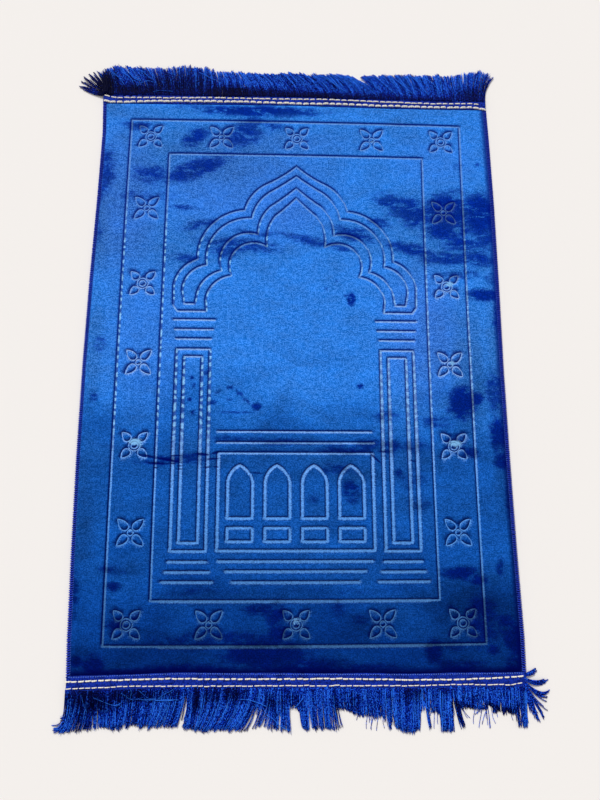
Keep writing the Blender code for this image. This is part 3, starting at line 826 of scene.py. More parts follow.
def velvet():
    material, shader, place = new_finish(
        "velvet_pile",
        Roughness=0.85,
        Specular_IOR_Level=0.01,
        Sheen_Weight=0.03,
        Sheen_Roughness=0.4,
        Sheen_Tint=(0.1, 0.4, 1.0, 1),
    )
    along = place.node("ShaderNodeSeparateXYZ", sockets={0: place}, output=1)
    # Single tufts catch the light or don't.
    fine = place.stretched(0.0022, 0.0019, 1).grain(1.0)
    tuft = place.stretched(0.007, 0.005, 1).grain(3.0, 0.7)
    speckle = 6.5 * (fine - 0.5) + 4.5 * (tuft - 0.5)
    # Painted light: the pile is lit brighter towards the far end and lies in painted shade at the near
    # one.
    drift = place.stretched(0.13, 0.08, 1).grain(2.0)
    drifted = along + 0.3 * (drift - 0.5)
    far_light = 0.1 + 0.3 * drifted.eased(-0.5, -0.22) + 0.6 * drifted.eased(-0.17, 0.03)
    pile = (0.4 * place.measure("violet")).between(far_light.between(PILE_IN_SHADE, PILE_LIT), PILE_VIOLET)
    wisp = place.stretched(0.034, 0.015, 1).grain(6.0, 0.7)
    mottle = place.stretched(0.04, 0.024, 1).grain(5.0, 0.68)
    patch = place.measure("turned")
    tear = place.stretched(0.011, 0.007, 1).grain(4.0, 0.75) - 0.5
    ragged = patch * (1.15 + 4.2 * (wisp - 0.5) + 2.8 * tear) + 0.9 * (wisp - 0.5) + 0.5 * tear
    turned = 0.6 * ragged.eased(0.15, 0.85) + 0.38 * (patch * (0.2 + 1.6 * mottle)).eased(0.0, 0.95)
    deep = far_light.between(PILE_DARKEST, PILE_TURNED)
    pile = turned.between(pile.shaded(1 - 0.42 * place.measure("leaning")), deep)
    broad = place.stretched(0.09, 0.05, 1).grain(3.0, 0.6)
    uneven = 1 + (mottle - 0.5) + (1.1 - 0.7 * far_light) * (broad - 0.5)
    pile = pile.shaded(uneven * (1 + 0.5 * tear))
    dark_tufts = pile.shaded(0.68)
    # Pale tufts show most in the painted light towards the far end.
    pale_tufts = (0.36 * far_light * far_light * (1 - turned)).between(pile.shaded(1.3), PILE_PALE)
    pile = (0.45 + 0.4 * speckle).eased(0.0, 1.0).between(dark_tufts, pale_tufts)
    # Pressed pile is shiny and pale, with a painted highlight on the channel's side away from the light,
    # and upright channels glint in painted beads of light.
    floor = along.eased(-0.25, -0.02).between(CHANNEL_NEAR, CHANNEL_MIDDLE)
    floor = along.eased(0.09, 0.22).between(floor, CHANNEL_FAR)
    shade_colour = along.eased(-0.3, 0.2).between(PAINTED_SHADE_NEAR, PAINTED_SHADE_FAR)
    spacing = along * (2 * math.pi / BEAD_PITCH) + 15 * place.stretched(0.034, 0.034, 1).grain()
    bead = (spacing.wave() + 0.1 * speckle).eased(-0.6, 0.7)
    floor = (0.9 * place.measure("beads")).between(floor, bead.between(BEAD_GAP, BEAD))
    # The floors also get painted shade towards the near end, and they darken in the turned patches.
    dusk = 0.3 + 0.7 * along.eased(-0.5, -0.16)
    floor = floor.shaded(dusk * (1 + 0.2 * speckle) * (1 - 0.6 * turned))
    # Where the pressed floor shows: pale of itself, with a painted highlight that puts it mostly on the
    # side away from the light
    cover = (place.measure("pressed") + 0.1 * speckle).eased(0.08, 0.85)
    # Painted shade over the channels, along the edges and under the left side's stitches
    pile = (0.95 * place.measure("painted_shade")).between(pile, shade_colour)
    glint = (place.measure("glint") + 0.16 * speckle).eased(0.3, 0.9)
    face = (0.75 * glint).between((0.92 * cover).between(pile, floor), BEAD)
    # Painted shade in the troughs of the creases
    crease_shade = (place.measure("crease_shade") * (0.2 + 1.6 * wisp)).eased(0.05, 0.8)
    wire((0.92 * crease_shade).between(face, shade_colour), shader, "Base Color")
    wire(0.9 - 0.35 * cover, shader, "Roughness")
    wire(bump(fine + 0.5 * tuft, 0.0005, 0.4), shader, "Normal")
    return material


def backing():
    material, shader, place = new_finish("backing_cloth", Roughness=0.9)
    knit = place.stretched(0.0016, 0.0024, 1).grain(2.0)
    shade = place.stretched(0.08, 0.08, 1).grain(3.0)
    wire((0.7 * knit + 0.3 * shade).between(dye(14, 26, 80), dye(36, 60, 130)), shader, "Base Color")
    wire(bump(knit, 0.0004, 0.6), shader, "Normal")
    return material


mat = added("plush_mat", mat_mesh())
mat.data.materials.append(velvet())
mat.data.materials.append(backing())
mat.data.polygons[len(mat.data.polygons) - 1].material_index = 1
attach(mat, "root")
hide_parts("padded_mat")

# --- The overlocked sides -------------------------------------------------------------------------
# Thread wraps both cut sides in close stitches, which pull the padding down to a lip. A second and
# lighter thread lies along their inner edge.

EDGE_PITCH = 3.4
EDGE_RADIUS = 0.95
# An edge stitch in section, from its inner end: distances in from the cut edge, and heights. Over its
# span it slants along the side.
EDGE_STITCH = ((4.9, 3.3), (3.4, 3.7), (1.6, 3.5), (0.1, 2.9), (-0.8, 1.8), (-0.7, 0.85))
EDGE_SPAN = 5
EDGE_SLANT = 1.1
# How far stitches stray from their pitch, and by what share their reach varies
EDGE_STRAYING = 0.2
EDGE_VARIES = 0.06
# A chain stitch from end to end: distances along the side, and heights over its own
CHAIN_STITCH = ((0, -0.5), (0.5, 0), (1.4, 0), (1.9, -0.5))
CHAIN_INSET = 5.7
CHAIN_HEIGHT = 3.75
CHAIN_RADIUS = 0.5
CHAIN_STRAYING, CHAIN_WANDERS = 0.15, 0.2
SIDES_FROM, SIDES_TO = -484, 488
SIDE_STITCHES = round((SIDES_TO - SIDES_FROM) / EDGE_PITCH)

chance = np.random.default_rng(4)


def tubes(paths, radii, sides, aside=(0, 0, 1)):
    """Closed tubes along paths that have as many points each: places and faces."""
    paths = np.asarray(paths, float)
    count, steps, _ = paths.shape
    radii = np.broadcast_to(radii, (count, steps))
    way = np.gradient(paths, axis=1)
    level = np.cross(way, aside)
    level /= np.linalg.norm(level, axis=2, keepdims=True)
    up = np.cross(level, way)
    up /= np.linalg.norm(up, axis=2, keepdims=True)
    turns = 2 * np.pi * (np.arange(sides) + 0.5) / sides
    ring = np.cos(turns)[:, None] * level[:, :, None] + np.sin(turns)[:, None] * up[:, :, None]
    places = paths[:, :, None] + radii[:, :, None, None] * ring
    index = np.arange(count * steps * sides).reshape(count, steps, sides)
    around = np.roll(index, -1, axis=2)
    walls = np.stack((index[:, :-1], index[:, 1:], around[:, 1:], around[:, :-1]), axis=-1)
    faces = walls.reshape(-1, 4).tolist() + index[:, 0].tolist() + index[:, -1, ::-1].tolist()
    return places.reshape(-1, 3), faces


def sewn_piece(name, shape, finish, measures=None):
    """A piece of these places, in millimetres, and faces, with measures at its points."""
    places, faces = shape
    mesh = bpy.data.meshes.new(name)
    mesh.from_pydata(np.asarray(places) * MM, [], faces)
    hold(mesh, measures or {})
    mesh.shade_smooth()
    mesh.materials.append(finish)
    piece = added(name, mesh)
    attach(piece, "root")
    return piece


def edge_stitches(side, inwards):
    """The stitches that wrap one long side."""
    starts = np.linspace(SIDES_FROM, SIDES_TO, SIDE_STITCHES)
    starts += chance.normal(0, EDGE_STRAYING, SIDE_STITCHES)
    insets, levels = np.array(EDGE_STITCH).T
    reach = insets * (1 + chance.normal(0, EDGE_VARIES, (SIDE_STITCHES, 1)))
    x = side_x(side, starts)[:, None] + inwards * reach
    y = starts[:, None] + EDGE_SLANT * (insets - EDGE_SPAN / 2) / EDGE_SPAN
    z = np.broadcast_to(levels, x.shape)
    return tubes(np.stack((x, y, z), axis=2), EDGE_RADIUS, 6, (0, 1, 0))


def chain_stitches(side, inwards):
    """The short lengths of lighter thread inside the edge stitches."""
    starts = np.linspace(SIDES_FROM, SIDES_TO, SIDE_STITCHES)[:, None]
    along, levels = np.array(CHAIN_STITCH).T
    y = starts + along + chance.normal(0, CHAIN_STRAYING, (SIDE_STITCHES, 1))
    inset = CHAIN_INSET + chance.normal(0, CHAIN_WANDERS, (SIDE_STITCHES, 1))
    x = side_x(side, y) + inwards * inset
    z = CHAIN_HEIGHT + np.broadcast_to(levels, x.shape)
    return tubes(np.stack((x, y, z), axis=2), CHAIN_RADIUS, 5)


def thread_finish(name, dark, light, roughness=0.55):
    """Twisted thread, a little lighter on some of its turns."""
    material, shader, place = new_finish(name, Roughness=roughness, Specular_IOR_Level=0.1)
    turns = place.stretched(0.0016, 0.0016, 0.0016).grain(2.0)
    wear = place.stretched(0.02, 0.02, 0.02).grain(2.0)
    wire((0.6 * turns + 0.5 * wear).between(dark, light), shader, "Base Color")
    wire(bump(turns, 0.0003, 0.5), shader, "Normal")
    return material


edge_finish = thread_finish("edge_thread", dye(8, 18, 112), dye(50, 78, 220))
chain_finish = thread_finish("chain_thread", dye(20, 44, 150), dye(84, 124, 224))
sewn_on = []
for name, side, inwards in (("left", LEFT_SIDE, 1), ("right", RIGHT_SIDE, -1)):
    stitches = edge_stitches(side, inwards)
    sewn_on.append(sewn_piece(f"{name}_edge_stitches", stitches, edge_finish))
    chain = chain_stitches(side, inwards)
    sewn_on.append(sewn_piece(f"{name}_chain_stitches", chain, chain_finish))

# --- The fringes' headings ------------------------------------------------------------------------
# A woven tape laps each end of the mat, and two rows of cream stitches sew it down. The near tape
# shows a row of loops along its inner edge.

# A heading in section: distances out from the mat's end, and heights
NEAR_HEADING = (
    (-17, 3.4), (-17.2, 4.5), (-16, 5.1), (-13.5, 5.2), (-11.4, 4.8), (-8.4, 4.8), (-6, 5.3),
    (-3, 5.3), (0, 4.9), (1.8, 4.7), (3.6, 5.0), (4.4, 4.4), (4, 3.4),
)
FAR_HEADING = (
    (-12.3, 3.4), (-12.5, 4.5), (-11.4, 5.1), (-8.6, 5.1), (-7, 4.7), (-5, 5.2), (-1.5, 5.3),
    (1, 4.8), (2.6, 5.0), (4.2, 4.5), (4, 3.4),
)
HEADING_PACE = 2.5
# Its face, higher than HEADING_FACE, has fine ribs and long waves, and its inner edge wavers.
HEADING_FACE = 4.6
RIB_HEIGHT, RIB_LENGTH = 0.15, 1.9
WAVE_HEIGHT, WAVE_LENGTH = 0.25, 31
WAVER, WAVER_LENGTH = 0.35, 23

# The rows of stitches: the pitch, a stitch's length, radius and height, and where the row runs
Row = namedtuple("Row", "name pitch length radius height way")
NEAR_INNER_WAY = (
    (-350, -490.5), (-200, -487), (-100, -488.5), (60, -489.2), (180, -491.8), (250, -491.8),
    (300, -490.5), (352, -488),
)
NEAR_OUTER_WAY = (
    (-347, -500.5), (-250, -497.3), (-180, -497.8), (0, -498.6), (180, -500.3), (250, -499.2),
    (330, -500), (352, -496.5),
)
FAR_INNER_WAY = (
    (-350, 491.5), (-336, 487), (-250, 491), (-200, 492.5), (-100, 493.5), (0, 492.2), (60, 493.5),
    (150, 491.7), (250, 491), (320, 492.5), (347, 488.5),
)
FAR_OUTER_WAY = (
    (-349, 501.5), (-330, 496.5), (-250, 498), (-150, 500.8), (0, 501), (60, 502.3), (150, 500),
    (250, 498), (320, 500.5), (345, 498),
)
ROWS = table(
    Row,
    ("near_inner", 10, 9.2, 1.3, 5.6, NEAR_INNER_WAY),
    ("near_outer", 9.4, 8.8, 0.85, 5.3, NEAR_OUTER_WAY),
    ("far_inner", 12, 11.6, 1.9, 5.6, FAR_INNER_WAY),
    ("far_outer", 11.6, 11.2, 1.15, 5.4, FAR_OUTER_WAY),
)
# A stitch from end to end: how far it rises and how thick it is, in its own radii
STITCH_RISE = (-1.8, -0.1, 0.2, 0.28, 0.3, 0.28, 0.2, -0.1, -1.8)
STITCH_THICKNESS = (0.6, 0.9, 1, 1, 1, 1, 1, 0.9, 0.6)
STITCH_TURNS = 1.6
# How far stitches stray from their pitch and from their row, by what share their lengths vary, and how
# steeply they cross the row
STITCH_STRAYING, STITCH_WANDERS = 0.35, 0.25
STITCH_VARIES = 0.07
STITCH_TILT, TILT_VARIES = 0.02, 0.03
# A ply's radius, and how far it winds aside and up and down, in the stitch's radii
PLY_RADIUS = 0.62
PLY_ASIDE, PLY_UP = 0.45, 0.3

# A loop from end to end: distances along the tape, and heights
LOOP = ((-0.8, 4.7), (-0.4, 5.4), (0.4, 5.4), (0.8, 4.7))
LOOP_PITCH = 3.6
LOOP_INSET = 15.6
LOOP_RADIUS = 0.5
LOOP_WANDERS = 0.15
LOOPS_FROM, LOOPS_TO = -343, 351


def heading_mesh(end, profile, out):
    """A tape along one end of the mat, closed at its ends."""
    left, right = end_span(out)
    across = np.linspace(left, right, round((right - left) / HEADING_PACE))
    reach, level = np.array(profile).T
    x = np.broadcast_to(across[:, None], (len(across), len(reach)))
    ripple = RIB_HEIGHT * np.sin(x / RIB_LENGTH) + WAVE_HEIGHT * np.sin(x / WAVE_LENGTH + reach)
    waver = WAVER * np.sin(x / WAVER_LENGTH) * (reach < 0)
    y = end_y(end, across)[:, None] + out * (reach + waver)
    z = level + ripple * (level > HEADING_FACE)
    index = np.arange(x.size).reshape(x.shape)
    around = np.roll(index, -1, axis=1)
    faces = np.stack((index[:-1], around[:-1], around[1:], index[1:]), axis=-1).reshape(-1, 4)
    ends = [index[0, ::-1].tolist(), index[-1].tolist()]
    if out > 0:
        faces, ends = faces[:, ::-1], [ring[::-1] for ring in ends]
    return np.stack((x, y, z), axis=2).reshape(-1, 3), faces.tolist() + ends


def joined(shapes):
    """Several shapes as one set of places and faces."""
    places, faces, first = [], [], 0
    for part_places, part_faces in shapes:
        places.append(part_places)
        faces += [[index + first for index in face] for face in part_faces]
        first += len(part_places)
    return np.concatenate(places), faces


def stitch_row(row):
    """Stitches along a row, each two twisted plies that dip into the cloth at both ends."""
    way = np.array(row.way, float)
    starts = np.arange(way[0, 0] + 0.5, way[-1, 0] - row.length, row.pitch)
    starts += chance.normal(0, STITCH_STRAYING, len(starts))
    lengths = row.length * (1 + chance.normal(0, STITCH_VARIES, len(starts)))
    share = np.linspace(0, 1, len(STITCH_RISE))
    x = starts[:, None] + lengths[:, None] * share
    y = np.interp(x, *way.T) + chance.normal(0, STITCH_WANDERS, (len(starts), 1))
    tilt = chance.normal(STITCH_TILT, TILT_VARIES, (len(starts), 1))
    y = y + tilt * (x - starts[:, None] - row.length / 2)
    rise = np.array(STITCH_RISE) * row.radius
    thick = np.array(STITCH_THICKNESS) * row.radius
    twist = 2 * np.pi * (share * STITCH_TURNS + chance.random((len(starts), 1)))
    plies = []
    for turn in (0, np.pi):
        aside = PLY_ASIDE * thick * np.cos(twist + turn)
        up = PLY_UP * thick * np.sin(twist + turn)
        path = np.stack((x, y + aside, row.height + rise + up), axis=2)
        plies.append(tubes(path, PLY_RADIUS * thick, 6))
    return joined(plies)


def loops():
    """The small loops of lighter thread along the near tape's inner edge."""
    along, levels = np.array(LOOP).T
    x = np.arange(LOOPS_FROM, LOOPS_TO, LOOP_PITCH)[:, None] + along
    y = end_y(NEAR_END, x) + LOOP_INSET + chance.normal(0, LOOP_WANDERS, (len(x), 1))
    z = np.broadcast_to(levels, x.shape)
    return tubes(np.stack((x, y, z), axis=2), LOOP_RADIUS, 5)


def heading_finish():
    material, shader, place = new_finish("heading_tape", Roughness=0.7, Specular_IOR_Level=0.06)
    weave = place.stretched(0.0011, 0.0034, 1).grain(1.0)
    shade = place.stretched(0.016, 0.005, 1).grain(4.0, 0.7)
    tone = (1.8 * weave + 1.6 * shade - 1.2).eased(0.0, 1.0)
    wire(tone.between(dye(0, 6, 68), dye(24, 58, 186)), shader, "Base Color")
    wire(bump(weave, 0.0005, 0.6), shader, "Normal")
    return material


tape = heading_finish()
near_heading = sewn_piece("near_heading", heading_mesh(NEAR_END, NEAR_HEADING, -1), tape)
far_heading = sewn_piece("far_heading", heading_mesh(FAR_END, FAR_HEADING, 1), tape)
cream = thread_finish("sewing_thread", dye(226, 216, 192), dye(255, 252, 242))
for row in ROWS:
    sewn_on.append(sewn_piece(f"{row.name}_stitches", stitch_row(row), cream))
loop_finish = thread_finish("loop_thread", dye(60, 100, 210), dye(120, 160, 240))
sewn_on.append(sewn_piece("near_loops", loops(), loop_finish))

# --- The fringes ----------------------------------------------------------------------------------
# Cut yarns hang from each heading's outer edge and lie combed on the floor in locks, some of them
# short, bent or missing, with frayed tufts at two corners.

# At each place across an end: how far the yarns reach from the mat's end, how far their tips lie
# aside, the share of them that reaches so far, and how late on their way they bend aside. The others
# are short.
Lock = namedtuple("Lock", "across reach lean fill late", defaults=(1, 0.5))
NEAR_LOCKS = table(
    Lock,
    (-351, 50, -18, 1, 1.1), (-346, 57, -17, 1, 1.0), (-338, 62, -16, 1, 0.8), (-325, 61, -11),
    (-312, 60, -4), (-305.5, 60, -2.5), (-305, 58, 3.5), (-299, 58, 0), (-298.5, 57, 4), (-260, 58, -4),
    (-245, 56, -5), (-200, 59, -14), (-170, 60, -13), (-165.6, 60, -14, 1, 0.2), (-165, 61, -8, 1, 0.7),
    (-158, 61, -8, 1, 0.6), (-150, 63, -8), (-125, 64, -20), (-100, 64, -24), (-60, 63, -23),
    (-57, 62, -15, 0.35), (-46, 60, -14, 0.45), (-38, 62, -10, 0.5), (-34, 63, -2), (-11, 64, 1),
    (-10.5, 34, 0), (2, 34, 1), (2.5, 61, 7, 0.8), (8, 62, 5, 0.95), (50, 63, 4), (58, 62, 8, 0.5),
    (61, 60, 8, 0.5), (61.5, 31, 3), (80, 39, 1), (100, 44, 0, 0.97), (120, 45, 0, 0.94), (135, 45, 0),
    (136, 62, 2, 0.6), (146, 58, 2, 0.5), (150, 62, 4), (172, 67, -3), (190, 65, -3), (191, 37, 0),
    (195, 36, 2), (195.5, 61, 7, 0.9), (200, 62, 4, 0.9), (201, 37, 0), (219, 44, 0),
    (219.5, 66, 0, 0.9), (239, 66, 1), (239.5, 62, 12, 0.9), (246, 61, 11, 0.9), (246.5, 38, 4),
    (258, 33, 3), (290, 37, 0), (295, 32, 0), (305, 37, 0), (335, 44, 0), (336, 61, 5), (352, 62, -1),
)
FAR_LOCKS = table(
    Lock,
    (-348, 48, -12), (-340, 54, -13), (-330, 60, -13), (-320, 63, -16), (-300, 64, -22),
    (-270, 61, -22), (-245, 62, -12), (-200, 65, -3), (-165, 63, -3), (-150, 57, -6), (-100, 56, -14),
    (-50, 53, -25), (20, 54, -32), (134, 54, -34), (140, 42, -32), (148, 43, -30), (150, 55, -29),
    (200, 58, -22), (250, 57, -12), (290, 60, -3), (325, 68, 6), (337, 68, 12), (346, 58, 20),
    (352, 54, 22),
)
YARNS_PER_END = 2700
YARN_STEPS = 9
YARN_SIDES = 4
YARN_RADIUS = 0.45
# Nearly half of the yarns are thick, and lie under the others.
UNDER_RADIUS = 0.95
UNDER_SHARE = 0.36
# Yarns cling together in groups of this width, and draw together towards their tips. Reaches and leans
# vary from group to group and from yarn to yarn.
YARN_GROUP = 4.0
CLUMPING = 0.3
REACH_BY_GROUP, REACH_BY_YARN = 1.5, 1.3
LEAN_BY_GROUP, LEAN_BY_YARN = 0.8, 1.1
# The short yarns reach so far, more or less. A share of all yarns is worn, some down to WORN_TO of
# their length.
SHORT_REACH, SHORT_VARIES = 34, 3
WORN_SHARE, WORN_TO = 0.16, 0.6
# A yarn leaves the heading this far out and this high, and lies on the floor or on others after this
# share of its length, in a layer that is less deep at the tips.
ROOT_MARGIN, ROOT_STRAYING = 0.8, 0.5
ROOT_OUT, ROOT_HEIGHT = 2.0, 4.1
FALLEN = 0.45
YARN_DEPTH, DEPTH_LOST = 3.6, 1.9
# How much the place of its bend varies, and how far it waves aside and up, over how many radians
BEND_VARIES = 0.12
YARN_WAVE, WAVE_TURN = (0.2, 1.1), (4, 9)
YARN_LIFT, LIFT_TURN = 0.5, 7
# How pale yarns are, with streaks along the fringe, and how much a tip tapers
YARN_PALENESS, PALENESS_VARIES = 0.44, 0.32
STREAK, STREAK_LENGTH = 0.18, 2.3
TAPER = 0.3
# On the floor a yarn's middle is this many of its radii up.
RESTING = 1.02
STRAY_HEIGHT = 5.2
STRAY_WAVE, STRAY_TURN = 0.6, (4, 8)

Yarns = namedtuple("Yarns", "paths thickness pale")

# Frayed tufts at one end of each heading: where each leaves it, a place on its way, where it tips, how
# many yarns it has and how far they spread
TUFT_RADIUS = 0.7
TUFT_HEIGHT = 4.0
TUFT_LIFT = 2.4
# What share of the way its yarns go, how far their middles stray, and how far they wave, over how many
# radians
TUFT_REACH = (0.75, 1.02)
TUFT_STRAYING = 0.8
TUFT_WAVE, TUFT_TURN = 0.5, (5, 11)
Tuft = namedtuple("Tuft", "root middle tip yarns spread")
NEAR_TUFTS = table(
    Tuft,
    ((350, -487), (363, -484), (374, -479), 14, 1.5), ((351, -490), (374, -498), (392, -493), 15, 1.3),
    ((351, -492), (368, -500), (385, -499), 8, 1.2), ((351, -494), (373, -512), (391, -511), 18, 1.5),
    ((351, -496), (371, -515), (388, -520), 6, 1.0), ((351, -498), (372, -519), (390, -529), 3, 1.5),
    ((351, -499), (370, -524), (387, -538), 3, 1.5), ((351, -500), (361, -527), (371, -555), 19, 1.5),
    ((351, -500), (366, -524), (380, -550), 12, 1.2), ((350, -501), (357, -524), (363, -545), 10, 1.8),
)
FAR_TUFTS = table(
    Tuft,
    ((-348, 501), (-361, 504), (-374, 509), 5, 1.2), ((-348, 502), (-370, 509), (-390, 516), 6, 1.0),
    ((-348, 503), (-372, 513), (-397, 522), 8, 1.0), ((-347, 504), (-368, 517), (-393, 532), 8, 1.1),
    ((-347, 505), (-366, 522), (-389, 541), 9, 1.2), ((-346, 505), (-361, 526), (-381, 545), 9, 1.2),
    ((-345, 505), (-357, 530), (-373, 550), 10, 1.3), ((-344, 505), (-352, 530), (-365, 553), 11, 1.4),
    ((-343, 505), (-347, 530), (-356, 556), 12, 1.6), ((-348, 504), (-358, 514), (-368, 527), 12, 2.2),
)
# Single yarns that dangle from the near fringe's short locks, from their roots to their tips
DANGLERS = (
    ((96, -530), (92, -549)), ((103, -535), (113, -549)), ((108, -536), (106, -562)),
    ((113, -536), (111, -553)), ((114, -536), (114, -563)), ((118, -538), (113, -561)),
    ((120, -538), (119, -551)), ((124, -538), (122, -564)), ((131, -538), (133, -562)),
    ((133, -538), (134, -552)), ((196, -530), (210, -541)), ((202, -530), (203, -552)),
    ((208, -534), (204, -545)), ((210, -535), (210, -562)), ((214, -536), (216, -556)),
    ((248, -530), (266, -548)), ((250, -530), (262, -548)), ((274, -530), (270, -557)),
    ((284, -530), (277, -543)), ((285, -530), (279, -562)), ((288, -530), (274, -543)),
    ((290, -530), (293, -558)), ((292, -530), (297, -562)), ((293, -530), (296, -563)),
    ((291, -530), (291, -549)), ((294, -530), (283, -558)), ((297, -530), (304, -557)),
    ((305, -535), (309, -547)), ((330, -536), (331, -553)), ((352, -520), (356, -556)),
    ((353, -518), (363, -543)), ((355, -520), (372, -542)),
)
# Yarns that have strayed and lie on top of the others, lit up
NEAR_STRAYS = (
    ((-305, -513), (-288, -521), (-268, -525), (-260, -517)),
    ((-264, -507), (-255, -514), (-245, -516), (-232, -514)),
    ((-250, -502), (-249, -508), (-249, -512), (-250, -517)),
    ((-245, -516), (-232, -517), (-218, -517), (-205, -515)),
    ((-228, -516), (-212, -518), (-196, -516), (-178, -517)),
    ((-222, -517), (-206, -519), (-192, -518), (-180, -516)),
    ((-238, -503), (-230, -511), (-222, -516), (-208, -515)),
    ((-208, -515), (-200, -509), (-192, -506), (-186, -502)),
    ((-326, -506), (-322, -514), (-318, -522), (-314, -534)),
    ((-86, -517), (-70, -519), (-52, -523), (-46, -528)),
    ((-45, -540), (-36, -545), (-24, -556), (-10, -561)),
    ((-4, -530), (2, -526), (6, -521), (10, -516)),
)
FAR_STRAYS = (
    ((-342, 553), (-334, 544), (-324, 538), (-316, 534)),
    ((-334, 547), (-326, 538), (-318, 532), (-312, 520)),
    ((-316, 556), (-305, 548), (-296, 540), (-284, 534)),
    ((-312, 552), (-304, 543), (-296, 537), (-282, 531)),
    ((-320, 550), (-308, 541), (-300, 532), (-294, 520)),
    ((-292, 520), (-284, 529), (-270, 534), (-262, 530)),
    ((-290, 556), (-280, 549), (-272, 542), (-262, 536)),
    ((-262, 510), (-250, 513), (-238, 514), (-226, 511)),
    ((-180, 552), (-170, 547), (-160, 541), (-148, 538)),
    ((142, 553), (156, 541), (168, 530), (182, 518)), ((170, 556), (184, 544), (200, 531), (212, 520)),
    ((208, 556), (222, 543), (232, 532), (242, 516)), ((226, 552), (240, 549), (254, 540), (262, 524)),
    ((262, 556), (265, 547), (267, 538), (268, 526)), ((40, 554), (58, 541), (76, 530), (92, 519)),
)
# Where the fringes lie in their own shade
NEAR_SHADES = table(
    Patch,
    (-312, -516, 34, 17, 1.0, -12), (-335, -520, 16, 30, 0.6), (-322, -545, 10, 22, 0.7),
    (-250, -511, 50, 9, 0.9), (-195, -509, 30, 7, 0.6), (-245, -535, 7, 20, 0.5, -10),
    (-152, -520, 7, 18, 0.8), (-130, -511, 16, 12, 0.7), (-98, -509, 14, 12, 0.85),
    (-82, -512, 7, 10, 0.7), (-40, -522, 6, 12, 0.8), (-10, -520, 16, 10, 0.5), (60, -524, 6, 12, 0.5),
    (90, -525, 24, 12, 0.45), (178, -512, 16, 10, 0.7), (232, -508, 14, 5, 0.5), (246, -530, 9, 6, 1.0),
    (252, -546, 7, 12, 0.6), (262, -531, 10, 4, 0.6), (275, -520, 10, 6, 0.4), (296, -529, 6, 4, 0.8),
    (316, -537, 22, 5, 0.9, -14), (337, -544, 5, 16, 0.7), (349, -520, 3, 22, 0.6),
    (372, -510, 16, 34, 0.35),
)
FAR_SHADES = table(
    Patch,
    (-345, 522, 16, 24, 1.4), (-370, 530, 20, 16, 0.6), (-290, 514, 60, 12, 0.9),
    (-215, 524, 60, 26, 0.75), (-120, 512, 60, 13, 1.0), (-60, 512, 60, 10, 0.9), (20, 509, 90, 8, 0.9),
    (120, 509, 70, 7, 0.7), (240, 508, 80, 6, 0.6), (320, 518, 26, 16, 0.7), (350, 530, 14, 20, 0.6),
)


def yarn_tips(roots, left, locks):
    """How far each yarn from these roots reaches and leans aside, and how late it bends."""
    count = len(roots)
    places, *columns = np.array(locks).T
    reach, lean, fill, late = (np.interp(roots, places, column) for column in columns)
    group = ((roots - left + 40) / YARN_GROUP + 0.5 * np.sin(roots / 5)).astype(int)
    groups = group.max() + 1
    reach = reach + chance.normal(0, REACH_BY_GROUP, groups)[group]
    reach += chance.normal(0, REACH_BY_YARN, count)
    short = chance.random(count) > fill
    worn = np.where(chance.random(count) < WORN_SHARE, chance.uniform(WORN_TO, 1, count), 1)
    short_reach = SHORT_REACH + chance.normal(0, SHORT_VARIES, count)
    worn = np.where(short, np.minimum(worn, short_reach / reach), worn)
    middles = np.bincount(group, roots) / np.maximum(np.bincount(group), 1)
    drawn = CLUMPING * (middles[group] - roots)
    lean = lean * worn + drawn + chance.normal(0, LEAN_BY_GROUP, groups)[group]
    lean += chance.normal(0, LEAN_BY_YARN, count)
    return reach * worn, lean, late


def combed(locks, end, out):
    """The yarns that hang from one heading."""
    left, right = end_span(out)
    count = YARNS_PER_END
    roots = np.linspace(left + ROOT_MARGIN, right - ROOT_MARGIN, count)
    roots += chance.normal(0, ROOT_STRAYING, count)
    reach, lean, late = yarn_tips(roots, left, locks)
    # From 0 for a yarn on the floor to 1 for one on top, with more of them low
    layer = chance.random(count) ** 1.3
    radius = np.where(layer < UNDER_SHARE, UNDER_RADIUS, YARN_RADIUS)[:, None]
    share = np.linspace(0, 1, YARN_STEPS)
    bend = (late + chance.uniform(-BEND_VARIES, BEND_VARIES, count))[:, None]
    start = end_y(end, roots)[:, None] + out * ROOT_OUT
    run = reach[:, None] - ROOT_OUT
    # Each yarn leaves the heading squarely and bends over to its tip.
    x = roots[:, None] + lean[:, None] * share ** (1 + 2 * bend)
    y = start + out * run * (2 * share * (1 - share) * bend + share**2)
    wave = chance.uniform(*YARN_WAVE, count)[:, None]
    phase = chance.uniform(0, 6.28, count)[:, None]
    x = x + wave * share * np.sin(phase + share * chance.uniform(*WAVE_TURN, count)[:, None])
    fallen = np.clip(share / FALLEN, 0, 1)
    fallen = fallen * fallen * (3 - 2 * fallen)
    lying = radius + layer[:, None] * (YARN_DEPTH - DEPTH_LOST * share)
    lift = YARN_LIFT * layer[:, None] * np.sin(2 * phase + share * LIFT_TURN)
    z = ROOT_HEIGHT * (1 - fallen) + fallen * lying + lift * share
    z = np.maximum(z, radius * RESTING)
    pale = chance.normal(YARN_PALENESS, PALENESS_VARIES, count)
    pale = np.clip(pale + STREAK * np.sin(roots / STREAK_LENGTH), 0, 1)
    # Low yarns get painted shade from the yarns over them, and so do roots at the far end.
    pale = (pale * (0.3 + 0.75 * layer))[:, None]
    if out > 0:
        pale = pale * (0.4 + 0.7 * share)
    thickness = radius * (1 - TAPER * share**4)
    return Yarns(np.stack((x, y, z), axis=2), thickness, pale)


